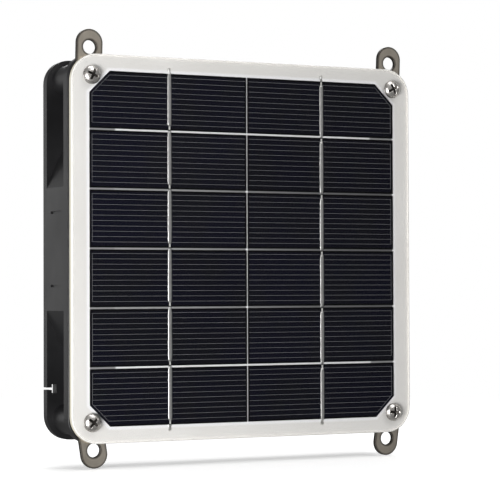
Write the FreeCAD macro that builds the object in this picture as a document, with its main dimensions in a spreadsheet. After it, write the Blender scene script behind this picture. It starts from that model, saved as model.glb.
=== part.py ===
import FreeCAD, Part
import math
import os
import re
import Sketcher

# Solar attic fan: a square axial fan with a twelve-cell solar panel held over its intake side.
#
# Frame of the model: +Z up, the panel faces -Y, and the fan turns about the Y axis. The origin is
# where the fan's axis meets its rear mounting face. A "station" is a distance forward of that face,
# so a station s lies at y = -s. Sketches that look along the axis lie on the XZ plane, whose normal
# points forward, and turned outlines lie on the XY plane as (radius, -station).

Vector = FreeCAD.Vector
doc = FreeCAD.newDocument("SolarAtticFan")

# ---------------------------------------------------------------- driving dimensions, millimetres

SIZES = [
    # fan frame
    ("frame_size", 140.0, "width and height of the square frame"),
    ("frame_depth", 25.0, "depth of the frame, rear face to front face"),
    ("frame_corner", 9.0, "corner radius of both flanges"),
    ("flange_thick", 4.0, "thickness of each flange"),
    ("edge_round", 0.5, "rounding of the frame's outer edges"),
    ("side_wall", 2.0, "thinnest wall, between the throat and the middle of a side"),
    ("barrel_wall", 5.5, "wall of the round barrel between the flanges"),
    ("hole_inset", 7.75, "corner holes' centres, in from the frame's sides"),
    ("post_radius", 5.6, "corner posts round the holes"),
    ("mount_hole_radius", 2.15, "rear mounting holes"),
    ("mount_hole_depth", 10.0, "depth of the rear mounting holes"),
    ("mark_height", 0.9, "height of the moulded slots on the flat sides"),
    ("mark_length", 10.5, "length of those slots along the axis"),
    ("mark_station", 8.0, "rear end of those slots"),
    ("mark_spread", 13.4, "distance of a slot from the middle of the side"),
    ("mark_depth", 0.6, "depth of those slots"),
    ("slit_height", 51.1, "cable slit, below the axis"),
    ("slit_width", 0.9, "width of the cable slit"),
    ("slit_reach", 1.9, "how far the slit runs in before its head"),
    ("slit_head_width", 3.3, "width of the slit's head"),
    ("slit_head_reach", 1.8, "depth of the slit's head"),
    # motor base and struts
    ("base_radius", 22.5, "outer radius of the motor base"),
    ("base_wall", 1.2, "wall of the motor base"),
    ("base_floor", 1.8, "floor of the motor base"),
    ("base_depth", 5.6, "depth of the motor base"),
    ("strut_count", 4, "struts from the motor base to the barrel"),
    ("strut_width", 4.2, "width of a plain strut"),
    ("strut_depth", 5.0, "depth of the struts along the axis"),
    ("boss_radius", 6.4, "boss that holds the bearing tube"),
    ("boss_height", 3.0, "height of that boss above the floor"),
    ("socket_floor", 0.8, "material left behind the bearing tube"),
    ("foil_radius", 18.3, "plain foil disc on the back of the motor base"),
    ("foil_thick", 0.25, "thickness of the foil disc"),
    ("foil_recess", 0.3, "depth of the recess that takes the foil disc"),
    ("foil_clearance", 0.2, "gap round the foil disc"),
    # bearing and shaft
    ("shaft_radius", 1.5, "motor shaft"),
    ("bearing_fit", 0.03, "radial running fit of the shaft in its bearing"),
    ("bearing_radius", 3.2, "outside of the sleeve bearing, inside of its tube"),
    ("tube_wall", 1.2, "wall of the bearing tube"),
    ("tube_top", 18.6, "front end of the bearing tube"),
    ("bearing_start", 5.4, "rear end of the sleeve bearing"),
    ("bearing_length", 11.4, "length of the sleeve bearing"),
    ("thrust_thick", 1.2, "thrust pad under the shaft's end"),
    ("thrust_gap", 0.1, "gap between the thrust pad and the shaft"),
    ("clip_station", 4.2, "rear face of the retaining clip"),
    ("clip_thick", 0.5, "thickness of the retaining clip"),
    ("clip_radius", 2.6, "outside of the retaining clip"),
    ("groove_depth", 0.35, "groove that the clip snaps into"),
    ("seal_thick", 0.6, "oil washer in front of the bearing"),
    ("seal_gap", 0.4, "gap between the bearing and the oil washer"),
    ("seal_clearance", 0.3, "radial gap between the oil washer and the shaft"),
    # rotor
    ("hub_radius", 22.3, "outside of the impeller's hub"),
    ("hub_start", 7.0, "rear rim of the hub"),
    ("hub_setback", 1.0, "hub's front face behind the frame's front face"),
    ("hub_face", 1.7, "thickness of the hub's front face"),
    ("hub_wall", 2.0, "wall of the hub"),
    ("hub_round", 1.2, "rounding of the hub's front edge"),
    ("tip_clearance", 1.2, "gap between the blade tips and the throat"),
    ("blade_count", 7, "blades on the impeller"),
    ("blade_margin", 1.4, "hub left clear in front of and behind the blades"),
    ("blade_root_chord", 20.0, "chord at the hub"),
    ("blade_tip_chord", 38.0, "chord at the tip"),
    ("blade_root_thick", 2.2, "thickness at the hub"),
    ("blade_tip_thick", 1.4, "thickness at the tip"),
    ("blade_camber", 1.25, "radius of a blade's curve over its chord"),
    ("yoke_wall", 1.0, "steel cup inside the hub"),
    ("magnet_wall", 2.5, "rubber-bonded magnet ring"),
    ("magnet_start", 7.6, "rear end of the magnet ring"),
    ("magnet_length", 12.4, "length of the magnet ring"),
    ("insert_radius", 4.2, "brass insert that holds the shaft in the hub"),
    ("insert_length", 3.7, "length of the insert"),
    ("insert_cover", 0.8, "hub material in front of the insert"),
    # stator
    ("air_gap", 0.6, "gap between the stator and the magnet"),
    ("core_start", 9.0, "rear end of the laminated core"),
    ("core_length", 6.0, "length of the laminated core"),
    ("core_hub", 8.0, "radius of the core's middle"),
    ("tooth_width", 5.0, "width of a core tooth"),
    ("shoe_thick", 1.9, "radial thickness of the pole shoes"),
    ("shoe_gap", 3.0, "gap between two pole shoes"),
    ("bobbin_thick", 1.0, "thickness of a bobbin's end plate"),
    ("coil_clearance", 0.15, "gap between a coil and what it is wound round"),
    ("coil_build", 2.5, "thickness of a coil beside its tooth"),
    ("coil_overhang", 2.1, "coil in front of and behind the bobbins"),
    ("coil_inset", 0.6, "gap between a coil, the core's middle and the pole shoe"),
    ("board_radius", 19.6, "motor circuit board"),
    ("board_start", 3.4, "rear face of the circuit board"),
    ("board_thick", 1.2, "thickness of the circuit board"),
    ("board_clearance", 0.3, "gap between the circuit board and the boss"),
    ("chip_size", 4.0, "driver chip with its Hall sensor"),
    ("chip_height", 1.1, "height of the driver chip"),
    ("chip_distance", 15.4, "driver chip and capacitor, out from the axis"),
    ("capacitor_radius", 1.8, "smoothing capacitor"),
    ("capacitor_height", 2.2, "height of the capacitor"),
    ("pin_radius", 0.3, "winding pins between the rear bobbin and the board"),
    ("pin_distance", 7.5, "winding pins, out from the axis"),
    # panel
    ("panel_overhang", 0.0, "panel past the frame on each side"),
    ("panel_corner", 10.0, "corner radius of the panel"),
    ("panel_board_thick", 1.6, "white board behind the cells"),
    ("panel_cover_thick", 0.8, "clear cover over the cells"),
    ("cover_skin", 0.25, "clear cover in front of the cells"),
    ("panel_round", 0.25, "rounding of the board's back edge"),
    ("panel_hole_clearance", 0.25, "radial gap between the screws and the panel"),
    ("array_border_side", 7.1, "border beside the cells"),
    ("array_border_end", 6.0, "border above and below the cells"),
    ("array_chamfer", 7.85, "cut corners of the cell array"),
    ("cavity_margin", 0.3, "gap between the cells and the cover's rim"),
    ("column_gap", 0.5, "gap between the two columns of cells"),
    ("cell_rows", 6, "rows of cells"),
    ("row_gap", 0.7, "gap between two rows of cells"),
    ("cell_thick", 0.2, "thickness of a cell"),
    ("ribbon_width", 1.5, "width of a tabbing ribbon"),
    ("ribbon_thick", 0.15, "thickness of a tabbing ribbon"),
    ("ribbon_leg", 0.3, "ribbon between two cells, seen along the gap"),
    ("ribbon_tail", 2.4, "ribbon past the last cell at each end"),
    ("ribbon_lap", 14.0, "ribbon under the next cell"),
    # ears and screws
    ("ear_thick", 1.6, "thickness of a hanging ear"),
    ("ear_width", 10.0, "width of a hanging ear"),
    ("ear_reach", 11.8, "centre of the ear's round end, from its pivot"),
    ("ear_hole_reach", 10.3, "hanging hole's centre, from the pivot"),
    ("ear_hole_radius", 2.5, "hanging hole"),
    ("ear_pivot_fit", 0.05, "radial fit of the ear on its screw"),
    ("ear_round", 0.25, "rounding of the ear's edges"),
    ("tilt_top_left", 1.5, "degrees that each ear leans from upright"),
    ("tilt_top_right", 2.0, ""),
    ("tilt_bottom_left", 9.0, ""),
    ("tilt_bottom_right", 8.0, ""),
    ("screw_radius", 1.75, "self-tapping screw's shank"),
    ("screw_grip", 11.0, "shank inside the corner post"),
    ("screw_point", 2.2, "length of the screw's point"),
    ("head_radius", 3.35, "pan head"),
    ("head_height", 2.0, "height of the pan head"),
    ("head_round", 1.3, "rounding of the pan head"),
    ("recess_width", 0.9, "width of a wing of the cross recess"),
    ("recess_length", 4.0, "length of the cross recess"),
    ("recess_depth", 1.3, "depth of the cross recess"),
    # leads
    ("lead_radius", 0.65, "insulated motor lead"),
    ("lead_spread", 0.8, "lead's centre line, off the middle of the channel"),
    ("lead_station", 2.62, "lead's centre line along the strut"),
    ("lead_start", 11.5, "where a lead leaves the circuit board"),
    ("lead_bend", 4.0, "radius of a lead's bend"),
    ("lead_wall_gap", 2.3, "red lead's run, out from the barrel"),
    ("lead_stagger", 3.0, "black lead's run, out from the red one's"),
    ("channel_width", 3.4, "lead channel in the wiring strut"),
    ("channel_depth", 4.1, "depth of the lead channel"),
    ("channel_start", 19.2, "inner end of the open channel"),
    ("channel_wall", 1.6, "wall on each side of the lead channel"),
    ("notch_margin", 1.5, "gap round the leads in the front flange"),
    ("solder_radius", 1.4, "solder joint on the back of the panel"),
    ("solder_height", 1.0, "height of a solder joint"),
]

sheet = doc.addObject("Spreadsheet::Sheet", "Sizes")
for row, (alias, number, note) in enumerate(SIZES, start=1):
    sheet.set("A%d" % row, alias)
    sheet.set("B%d" % row, str(number))
    sheet.set("C%d" % row, note)
    sheet.setAlias("B%d" % row, alias)
doc.recompute()

ALIASES = {alias for alias, number, note in SIZES}

# Lengths that several pieces share, written once in terms of the driving dimensions.
SHARED = {
    "half_frame": "frame_size / 2",
    "throat": "(frame_size / 2 - side_wall)",
    "barrel": "(frame_size / 2 - side_wall + barrel_wall)",
    "corner_hole": "(frame_size / 2 - hole_inset)",
    "recess_gap": "(frame_depth - 2 * flange_thick)",
    "tube_outer": "(bearing_radius + tube_wall)",
    "hub_front": "(frame_depth - hub_setback)",
    "blade_middle": "((hub_start + frame_depth - hub_setback - hub_round) / 2)",
    "blade_rise": "(frame_depth - hub_setback - hub_round - hub_start - 2 * blade_margin)",
    "cavity_radius": "(hub_radius - hub_wall)",
    "cavity_front": "(frame_depth - hub_setback - hub_face)",
    "yoke_inner": "(hub_radius - hub_wall - yoke_wall)",
    "core_radius": "(hub_radius - hub_wall - yoke_wall - magnet_wall - air_gap)",
    "insert_front": "(frame_depth - hub_setback - insert_cover)",
    "panel_back": "(frame_depth + ear_thick)",
    "board_front": "(frame_depth + ear_thick + panel_board_thick)",
    "panel_front": "(frame_depth + ear_thick + panel_board_thick + panel_cover_thick)",
    "half_panel": "(frame_size / 2 + panel_overhang)",
    "array_side": "(frame_size / 2 + panel_overhang - array_border_side)",
    "array_end": "(frame_size / 2 + panel_overhang - array_border_end)",
    "cell_back": "(frame_depth + ear_thick + panel_board_thick + ribbon_thick)",
    "column_middle": "((array_side + column_gap / 2) / 2)",
    "row_pitch": "((2 * array_end + row_gap) / cell_rows)",
    "red_run": "(frame_size / 2 - side_wall + barrel_wall + lead_wall_gap)",
}


def formula(text):
    """The expression for a sheet-bound property, with shared lengths and aliases spelled out."""
    def spell(match):
        word = match.group(0)
        if word in SHARED:
            return "(" + formula(SHARED[word]) + ")"
        if word in ALIASES:
            return "Sizes." + word
        return word
    return re.sub(r"[A-Za-z_]\w*", spell, str(text))


def measure(text):
    """The present value of such an expression."""
    number = sheet.evalExpression(formula(text))
    return float(getattr(number, "Value", number))


def bind(item, name, text):
    """Ties one property of a document object to the sheet."""
    item.setExpression(name, formula(text))


# ---------------------------------------------------------------- sketches and features

SAME = 1e-4  # lengths closer than this are one length

def new_body(label):
    """An empty PartDesign body with its node's name."""
    body = doc.addObject("PartDesign::Body", label)
    body.Label = label
    return body


def origin_item(body, role):
    """One of a body's own origin planes or axes."""
    return [item for item in body.Origin.OriginFeatures if item.Role == role][0]


def plane_sketch(body, name, role, offset="0"):
    """A sketch on an origin plane, moved along that plane's normal by a bound offset."""
    sketch = body.newObject("Sketcher::SketchObject", name)
    sketch.AttachmentSupport = [(origin_item(body, role), "")]
    sketch.MapMode = "FlatFace"
    bind(sketch, "AttachmentOffset.Base.z", offset)
    return sketch


def front_sketch(body, name, station="0"):
    """A sketch across the fan's axis at a station."""
    return plane_sketch(body, name, "XZ_Plane", station)


def pin_point(sketch, geometry, corner, across, up):
    """Fixes one point of a sketch at bound coordinates."""
    for kind, text in (("DistanceX", across), ("DistanceY", up)):
        value = measure(text)
        index = sketch.addConstraint(Sketcher.Constraint(kind, -1, 1, geometry, corner, value))
        bind(sketch, "Constraints[%d]" % index, text)


def polygon(sketch, corners):
    """A closed outline of straight lines through corners given as pairs of expressions."""
    places = [Vector(measure(across), measure(up), 0) for across, up in corners]
    first = sketch.GeometryCount
    count = len(corners)
    for number in range(count):
        sketch.addGeometry(Part.LineSegment(places[number], places[(number + 1) % count]))
    for number in range(count):
        following = first + (number + 1) % count
        sketch.addConstraint(Sketcher.Constraint("Coincident", first + number, 2, following, 1))
    for number, (across, up) in enumerate(corners):
        pin_point(sketch, first + number, 1, across, up)


def rectangle(sketch, left, right, low, high):
    """A closed rectangle from four bound coordinates."""
    polygon(sketch, [(left, low), (right, low), (right, high), (left, high)])


def circle(sketch, radius, across="0", up="0"):
    """A circle with a bound radius and centre."""
    centre = Vector(measure(across), measure(up), 0)
    index = sketch.addGeometry(Part.Circle(centre, Vector(0, 0, 1), measure(radius)))
    pin_point(sketch, index, 3, across, up)
    size = sketch.addConstraint(Sketcher.Constraint("Radius", index, measure(radius)))
    bind(sketch, "Constraints[%d]" % size, radius)


def corner_circles(sketch, radius):
    """The same circle round each of the four corner holes' centres."""
    for across in ("corner_hole", "-corner_hole"):
        for up in ("corner_hole", "-corner_hole"):
            circle(sketch, radius, across, up)


def pad(body, sketch, length):
    """Material from a sketch forward along its normal."""
    feature = body.newObject("PartDesign::Pad", sketch.Name + "_pad")
    feature.Profile = sketch
    bind(feature, "Length", length)
    doc.recompute()
    return feature


def cut(body, sketch, length):
    """A pocket from a sketch forward along its normal, which has to take material away."""
    before = body.Shape.Volume
    feature = body.newObject("PartDesign::Pocket", sketch.Name + "_cut")
    feature.Profile = sketch
    feature.Reversed = True
    bind(feature, "Length", length)
    doc.recompute()
    if body.Shape.Volume >= before:
        raise RuntimeError("%s takes nothing away" % feature.Name)
    return feature


def turn(body, name, corners, kind="Revolution"):
    """A full turn of an outline of (radius, station) corners about the fan's axis."""
    sketch = plane_sketch(body, name, "XY_Plane")
    polygon(sketch, [(radius, "-(%s)" % station) for radius, station in corners])
    feature = body.newObject("PartDesign::" + kind, name + "_turn")
    feature.Profile = sketch
    feature.ReferenceAxis = (sketch, ["V_Axis"])
    feature.Angle = 360
    doc.recompute()
    return feature


def repeat_round(body, features, count):
    """Copies of features round the fan's axis."""
    pattern = body.newObject("PartDesign::PolarPattern", features[0].Name + "_round")
    pattern.Originals = features
    pattern.Axis = (origin_item(body, "Y_Axis"), [""])
    pattern.Angle = 360
    bind(pattern, "Occurrences", count)
    body.Tip = pattern
    doc.recompute()
    return pattern


def round_edges(body, radius, chosen):
    """A fillet on every edge of the body so far that the test picks."""
    base = body.Tip
    names = ["Edge%d" % (number + 1) for number, edge in enumerate(base.Shape.Edges) if chosen(edge)]
    feature = body.newObject("PartDesign::Fillet", base.Name + "_round")
    feature.Base = (base, names)
    bind(feature, "Radius", radius)
    doc.recompute()
    return feature


def at_station(edge, station):
    """True for an edge that lies wholly at one station."""
    box = edge.BoundBox
    return abs(box.YMin + station) < SAME and abs(box.YMax + station) < SAME


def along_axis(edge):
    """True for a straight edge parallel to the fan's axis."""
    box = edge.BoundBox
    return box.XLength < SAME and box.ZLength < SAME


def has_radius(edge, radius):
    """True for a round edge of that radius, such as the rim of one kind of hole."""
    return hasattr(edge.Curve, "Radius") and abs(edge.Curve.Radius - radius) < SAME


def turned_body(label, corners):
    """A body that is one turned outline."""
    body = new_body(label)
    turn(body, label + "_outline", corners)
    return body


def ring(label, outer, inner, start, length):
    """A body that is a plain tube round the fan's axis."""
    end = "(%s) + (%s)" % (start, length)
    return turned_body(label, [(inner, start), (outer, start), (outer, end), (inner, end)])


def disc(label, radius, start, length):
    """A body that is a plain disc on the fan's axis."""
    return ring(label, radius, "0", start, length)


def place(item, across="0", station="0", up="0"):
    """Moves a sub-part to bound coordinates."""
    bind(item, "Placement.Base.x", across)
    bind(item, "Placement.Base.y", "-(%s)" % station)
    bind(item, "Placement.Base.z", up)


def swing(item, degrees):
    """Turns a sub-part about the fan's axis direction by a bound angle."""
    item.Placement.Rotation = FreeCAD.Rotation(Vector(0, 1, 0), measure(degrees))
    bind(item, "Placement.Rotation.Angle", "(%s) * 1 deg" % degrees)


# ---------------------------------------------------------------- fan frame

def rounded_plate(body, name, half, corner, station, thickness):
    """A square plate with round corners."""
    sketch = front_sketch(body, name, station)
    rectangle(sketch, "-" + half, half, "-" + half, half)
    pad(body, sketch, thickness)
    round_edges(body, corner, along_axis)


def make_frame():
    """Flanges, barrel, corner posts, struts and motor base, moulded in one."""
    body = new_body("fan_frame")
    rounded_plate(body, "frame_block", "half_frame", "frame_corner", "0", "frame_depth")
    depth = measure("frame_depth")
    round_edges(body, "edge_round", lambda edge: at_station(edge, 0) or at_station(edge, depth))

    waist = front_sketch(body, "waist", "flange_thick")
    rectangle(waist, "-frame_size", "frame_size", "-frame_size", "frame_size")
    circle(waist, "barrel")
    corner_circles(waist, "post_radius")
    cut(body, waist, "recess_gap")

    throat = front_sketch(body, "throat_bore")
    circle(throat, "throat")
    cut(body, throat, "frame_depth")

    strut = front_sketch(body, "strut")
    lean = "(strut_width / 2 * sqrt(0.5))"
    end = "((throat + side_wall / 2) * sqrt(0.5))"
    polygon(strut, [("-" + lean, lean), (lean, "-" + lean),
                    ("%s + %s" % (end, lean), "%s - %s" % (end, lean)),
                    ("%s - %s" % (end, lean), "%s + %s" % (end, lean))])
    repeat_round(body, [pad(body, strut, "strut_depth")], "strut_count")

    wiring_strut = front_sketch(body, "wiring_strut")
    diagonal_strip(wiring_strut, "base_radius - base_wall", "throat + side_wall / 2",
                   "channel_width / 2 + channel_wall")
    pad(body, wiring_strut, "strut_depth")

    base = front_sketch(body, "base_disc")
    circle(base, "base_radius")
    pad(body, base, "base_depth")
    cup = front_sketch(body, "base_cup", "base_floor")
    circle(cup, "base_radius - base_wall")
    cut(body, cup, "base_depth")
    boss = front_sketch(body, "tube_boss", "base_floor / 2")
    circle(boss, "boss_radius")
    pad(body, boss, "base_floor / 2 + boss_height")
    socket = front_sketch(body, "tube_socket", "socket_floor")
    circle(socket, "tube_outer")
    cut(body, socket, "base_depth")
    foil = front_sketch(body, "foil_seat")
    circle(foil, "foil_radius + foil_clearance")
    cut(body, foil, "foil_recess")

    channel = front_sketch(body, "lead_channel")
    diagonal_strip(channel, "channel_start", "red_run + lead_stagger + notch_margin",
                   "channel_width / 2")
    cut(body, channel, "channel_depth")
    notch = front_sketch(body, "lead_notch", "frame_depth - flange_thick - 1")
    diagonal_strip(notch, "red_run - notch_margin", "red_run + lead_stagger + notch_margin",
                   "channel_width / 2")
    cut(body, notch, "flange_thick + 2")

    mount_holes = front_sketch(body, "mount_holes")
    corner_circles(mount_holes, "mount_hole_radius")
    cut(body, mount_holes, "mount_hole_depth")
    pilot_holes = front_sketch(body, "pilot_holes", "frame_depth - screw_grip")
    corner_circles(pilot_holes, "screw_radius")
    cut(body, pilot_holes, "screw_grip")

    slit = front_sketch(body, "cable_slit")
    side = "-half_frame"
    neck = "-half_frame + slit_reach"
    head = "-half_frame + slit_reach + slit_head_reach"
    low, high = "-slit_height - slit_width / 2", "-slit_height + slit_width / 2"
    head_low, head_high = "-slit_height - slit_head_width / 2", "-slit_height + slit_head_width / 2"
    polygon(slit, [(side + " - 1", low), (neck, low), (neck, head_low), (head, head_low),
                   (head, head_high), (neck, head_high), (neck, high), (side + " - 1", high)])
    cut(body, slit, "flange_thick")

    marks = front_sketch(body, "side_marks", "mark_station")
    for sign in ("", "-"):
        middle = sign + "mark_spread"
        rectangle(marks, "-half_frame - 1", "-half_frame + mark_depth",
                  middle + " - mark_height / 2", middle + " + mark_height / 2")
    repeat_round(body, [cut(body, marks, "mark_length")], "4")
    return body


def diagonal_strip(sketch, start, end, half_width):
    """A strip along the lower right diagonal, between two distances from the axis."""
    def corner(distance, side):
        return ("((%s) %s (%s)) * sqrt(0.5)" % (distance, side, half_width),
                "-((%s) %s (%s)) * sqrt(0.5)" % (distance, "-" if side == "+" else "+", half_width))
    polygon(sketch, [corner(start, "-"), corner(start, "+"), corner(end, "+"), corner(end, "-")])


# ---------------------------------------------------------------- rotor

def blade_section(body, name, distance, chord, thickness):
    """One cross-section of a blade, at a distance from the axis.

    Across the sketch runs +Y and up it runs +Z. The leading edge is in front and low, because the
    rotor turns towards -Z here, and the hollow side faces the rear. Every section spans the same
    depth, so a longer chord lies flatter.
    """
    sketch = plane_sketch(body, name, "YZ_Plane", distance)
    half_rise = "(blade_rise / 2)"
    half_run = "(sqrt((%s)^2 - blade_rise^2) / 2)" % chord
    off_y = "((%s) * %s / (%s))" % (thickness, half_run, chord)
    off_z = "((%s) * %s / (%s))" % (thickness, half_rise, chord)
    leading = [("-blade_middle - %s %s %s" % (half_rise, side, off_y),
                "-%s %s %s" % (half_run, other, off_z)) for side, other in ("-+", "+-")]
    trailing = [("-blade_middle + %s %s %s" % (half_rise, side, off_y),
                 "%s %s %s" % (half_run, other, off_z)) for side, other in ("-+", "+-")]
    radius = "(%s) * blade_camber" % chord
    arcs = []
    for front, back in zip(leading, trailing):
        start = Vector(measure(front[0]), measure(front[1]), 0)
        finish = Vector(measure(back[0]), measure(back[1]), 0)
        half = (finish - start).Length / 2
        bulge = measure(radius) - math.sqrt(measure(radius) ** 2 - half ** 2)
        normal = Vector(start.y - finish.y, finish.x - start.x, 0).normalize()
        crown = (start + finish) * 0.5 + normal * bulge
        index = sketch.addGeometry(Part.Arc(start, crown, finish))
        starts_first = (sketch.getPoint(index, 1) - start).Length < 1e-6
        ends = (1, 2) if starts_first else (2, 1)
        pin_point(sketch, index, ends[0], *front)
        pin_point(sketch, index, ends[1], *back)
        size = sketch.addConstraint(Sketcher.Constraint("Radius", index, measure(radius)))
        bind(sketch, "Constraints[%d]" % size, radius)
        arcs.append((index, ends))
    (suction, suction_ends), (pressure, pressure_ends) = arcs
    for number in (0, 1):
        start = sketch.getPoint(suction, suction_ends[number])
        finish = sketch.getPoint(pressure, pressure_ends[number])
        index = sketch.addGeometry(Part.LineSegment(start, finish))
        sketch.addConstraint(Sketcher.Constraint("Coincident", index, 1, suction, suction_ends[number]))
        sketch.addConstraint(Sketcher.Constraint("Coincident", index, 2, pressure, pressure_ends[number]))
    return sketch


def make_impeller():
    """Hub and twisted blades, moulded in one."""
    body = new_body("impeller")
    turn(body, "hub", [("0", "hub_start"), ("hub_radius", "hub_start"),
                       ("hub_radius", "hub_front"), ("0", "hub_front")])
    front = measure("hub_front")
    round_edges(body, "hub_round", lambda edge: at_station(edge, front))

    root, tip = "(hub_radius * 0.6)", "(throat - tip_clearance + 1)"
    sections = []
    for number, share in enumerate((0.0, 0.35, 0.7, 1.0)):
        def between(low, high):
            return "(%s) + %.2f * ((%s) - (%s))" % (low, share, high, low)
        sections.append(blade_section(
            body, "blade_section_%d" % number, between(root, tip),
            between("blade_root_chord", "blade_tip_chord"),
            between("blade_root_thick", "blade_tip_thick")))
    blade = body.newObject("PartDesign::AdditiveLoft", "blade")
    blade.Profile = sections[0]
    blade.Sections = sections[1:]
    doc.recompute()
    repeat_round(body, [blade], "blade_count")

    turn(body, "hub_cavity", [
        ("0", "hub_start - 3"), ("cavity_radius", "hub_start - 3"), ("cavity_radius", "cavity_front"),
        ("insert_radius", "cavity_front"), ("insert_radius", "insert_front"), ("0", "insert_front")],
        "Groove")
    turn(body, "tip_trim", [
        ("throat - tip_clearance", "0"), ("throat + frame_size / 4", "0"),
        ("throat + frame_size / 4", "frame_depth + 5"), ("throat - tip_clearance", "frame_depth + 5")],
        "Groove")
    return body


def make_rotor():
    """The impeller and what turns inside its hub."""
    insert_start = "insert_front - insert_length"
    yoke = turned_body("rotor_yoke", [
        ("yoke_inner", "hub_start"), ("cavity_radius", "hub_start"), ("cavity_radius", "cavity_front"),
        ("insert_radius", "cavity_front"), ("insert_radius", "cavity_front - yoke_wall"),
        ("yoke_inner", "cavity_front - yoke_wall")])
    magnet = ring("rotor_magnet", "yoke_inner", "yoke_inner - magnet_wall",
                  "magnet_start", "magnet_length")
    insert = turned_body("shaft_insert", [
        ("shaft_radius", insert_start), ("insert_radius", insert_start),
        ("insert_radius", "insert_front"), ("shaft_radius", "insert_front")])
    foot = "socket_floor + thrust_thick + thrust_gap"
    waist = "shaft_radius - groove_depth"
    clip_end = "clip_station + clip_thick"
    shaft = turned_body("motor_shaft", [
        ("0", foot), ("shaft_radius / 2", foot), ("shaft_radius", foot + " + 0.4"),
        ("shaft_radius", "clip_station"), (waist, "clip_station"), (waist, clip_end),
        ("shaft_radius", clip_end), ("shaft_radius", "insert_front"), ("0", "insert_front")])
    clip = ring("shaft_clip", "clip_radius", waist, "clip_station", "clip_thick")
    return [make_impeller(), yoke, magnet, insert, shaft, clip]


# ---------------------------------------------------------------- bearing and stator

def make_bearing():
    """The tube on the motor base and what sits inside it."""
    bearing_end = "bearing_start + bearing_length"
    return [
        ring("bearing_tube", "tube_outer", "bearing_radius", "socket_floor", "tube_top - socket_floor"),
        disc("thrust_pad", "bearing_radius", "socket_floor", "thrust_thick"),
        ring("sleeve_bearing", "bearing_radius", "shaft_radius + bearing_fit",
             "bearing_start", "bearing_length"),
        ring("oil_washer", "bearing_radius", "shaft_radius + seal_clearance",
             bearing_end + " + seal_gap", "seal_thick"),
    ]


def cross_arms(body, name, station, length, half_width, reach):
    """Two bars that cross on the fan's axis."""
    across = front_sketch(body, name + "_across", station)
    rectangle(across, "-(%s)" % reach, reach, "-(%s)" % half_width, half_width)
    pad(body, across, length)
    upright = front_sketch(body, name + "_upright", station)
    rectangle(upright, "-(%s)" % half_width, half_width, "-(%s)" % reach, reach)
    pad(body, upright, length)


def make_core():
    """Four-pole laminated core."""
    body = new_body("stator_core")
    middle = front_sketch(body, "core_middle", "core_start")
    circle(middle, "core_hub")
    pad(body, middle, "core_length")
    cross_arms(body, "teeth", "core_start", "core_length", "tooth_width / 2",
               "core_radius - shoe_thick / 2")
    rim = front_sketch(body, "shoes", "core_start")
    circle(rim, "core_radius")
    circle(rim, "core_radius - shoe_thick")
    pad(body, rim, "core_length")
    gap = front_sketch(body, "shoe_gap_sketch", "core_start")
    diagonal_strip(gap, "core_radius - shoe_thick - 1", "core_radius + 1", "shoe_gap / 2")
    repeat_round(body, [cut(body, gap, "core_length")], "4")
    bore = front_sketch(body, "core_bore", "core_start")
    circle(bore, "tube_outer")
    cut(body, bore, "core_length")
    return body


def make_bobbin(label, station):
    """Insulating end plate of the core."""
    body = new_body(label)
    middle = front_sketch(body, label + "_middle", station)
    circle(middle, "core_hub")
    pad(body, middle, "bobbin_thick")
    cross_arms(body, label + "_arms", station, "bobbin_thick", "tooth_width / 2",
               "core_radius - shoe_thick")
    bore = front_sketch(body, label + "_bore", station)
    circle(bore, "tube_outer")
    cut(body, bore, "bobbin_thick")
    return body


def make_coil(number):
    """The winding round one tooth."""
    body = new_body("stator_coil_%d" % (number + 1))
    inner = "core_hub + coil_inset"
    window = "tooth_width / 2 + coil_clearance"
    outer = "sqrt((core_radius - shoe_thick)^2 - (%s + coil_build)^2) - coil_inset / 2" % window
    rear = "core_start - bobbin_thick"
    front = "core_start + core_length + bobbin_thick"
    block = plane_sketch(body, body.Label + "_block", "YZ_Plane", inner)
    for build, overhang in (("coil_build", "coil_overhang"), ("0", "coil_clearance")):
        side = "%s + %s" % (window, build)
        rectangle(block, "-(%s + %s)" % (front, overhang), "-(%s - %s)" % (rear, overhang),
                  "-(%s)" % side, side)
    pad(body, block, "(%s) - (%s)" % (outer, inner))
    swing(body, str(90 * number))
    return body


def make_motor_board():
    """The motor's circuit board and what is soldered to it."""
    board = ring("motor_board", "board_radius", "boss_radius + board_clearance",
                 "board_start", "board_thick")
    face = "board_start + board_thick"
    spot = "(chip_distance * sqrt(0.5))"
    chip = new_body("driver_chip")
    chip_sketch = front_sketch(chip, "chip_outline", face)
    rectangle(chip_sketch, spot + " - chip_size / 2", spot + " + chip_size / 2",
              spot + " - chip_size / 2", spot + " + chip_size / 2")
    pad(chip, chip_sketch, "chip_height")
    capacitor = new_body("capacitor")
    can = front_sketch(capacitor, "can_outline", face)
    circle(can, "capacitor_radius", "-" + spot, "-" + spot)
    pad(capacitor, can, "capacitor_height")
    pins = new_body("winding_pins")
    pins.AllowCompound = True
    pin_sketch = front_sketch(pins, "pin_outline", face)
    circle(pin_sketch, "pin_radius", "pin_distance * sqrt(0.5)", "pin_distance * sqrt(0.5)")
    pin = pad(pins, pin_sketch, "core_start - bobbin_thick - board_start - board_thick")
    repeat_round(pins, [pin], "4")
    return [board, chip, capacitor, pins]


def make_stator():
    """Core, insulation, windings, board and the foil disc behind them."""
    pieces = [make_core(), make_bobbin("rear_bobbin", "core_start - bobbin_thick"),
              make_bobbin("front_bobbin", "core_start + core_length")]
    pieces += [make_coil(number) for number in range(4)]
    pieces += make_motor_board()
    pieces.append(disc("motor_foil", "foil_radius", "foil_recess - foil_thick", "foil_thick"))
    return pieces


# ---------------------------------------------------------------- solar panel

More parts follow.
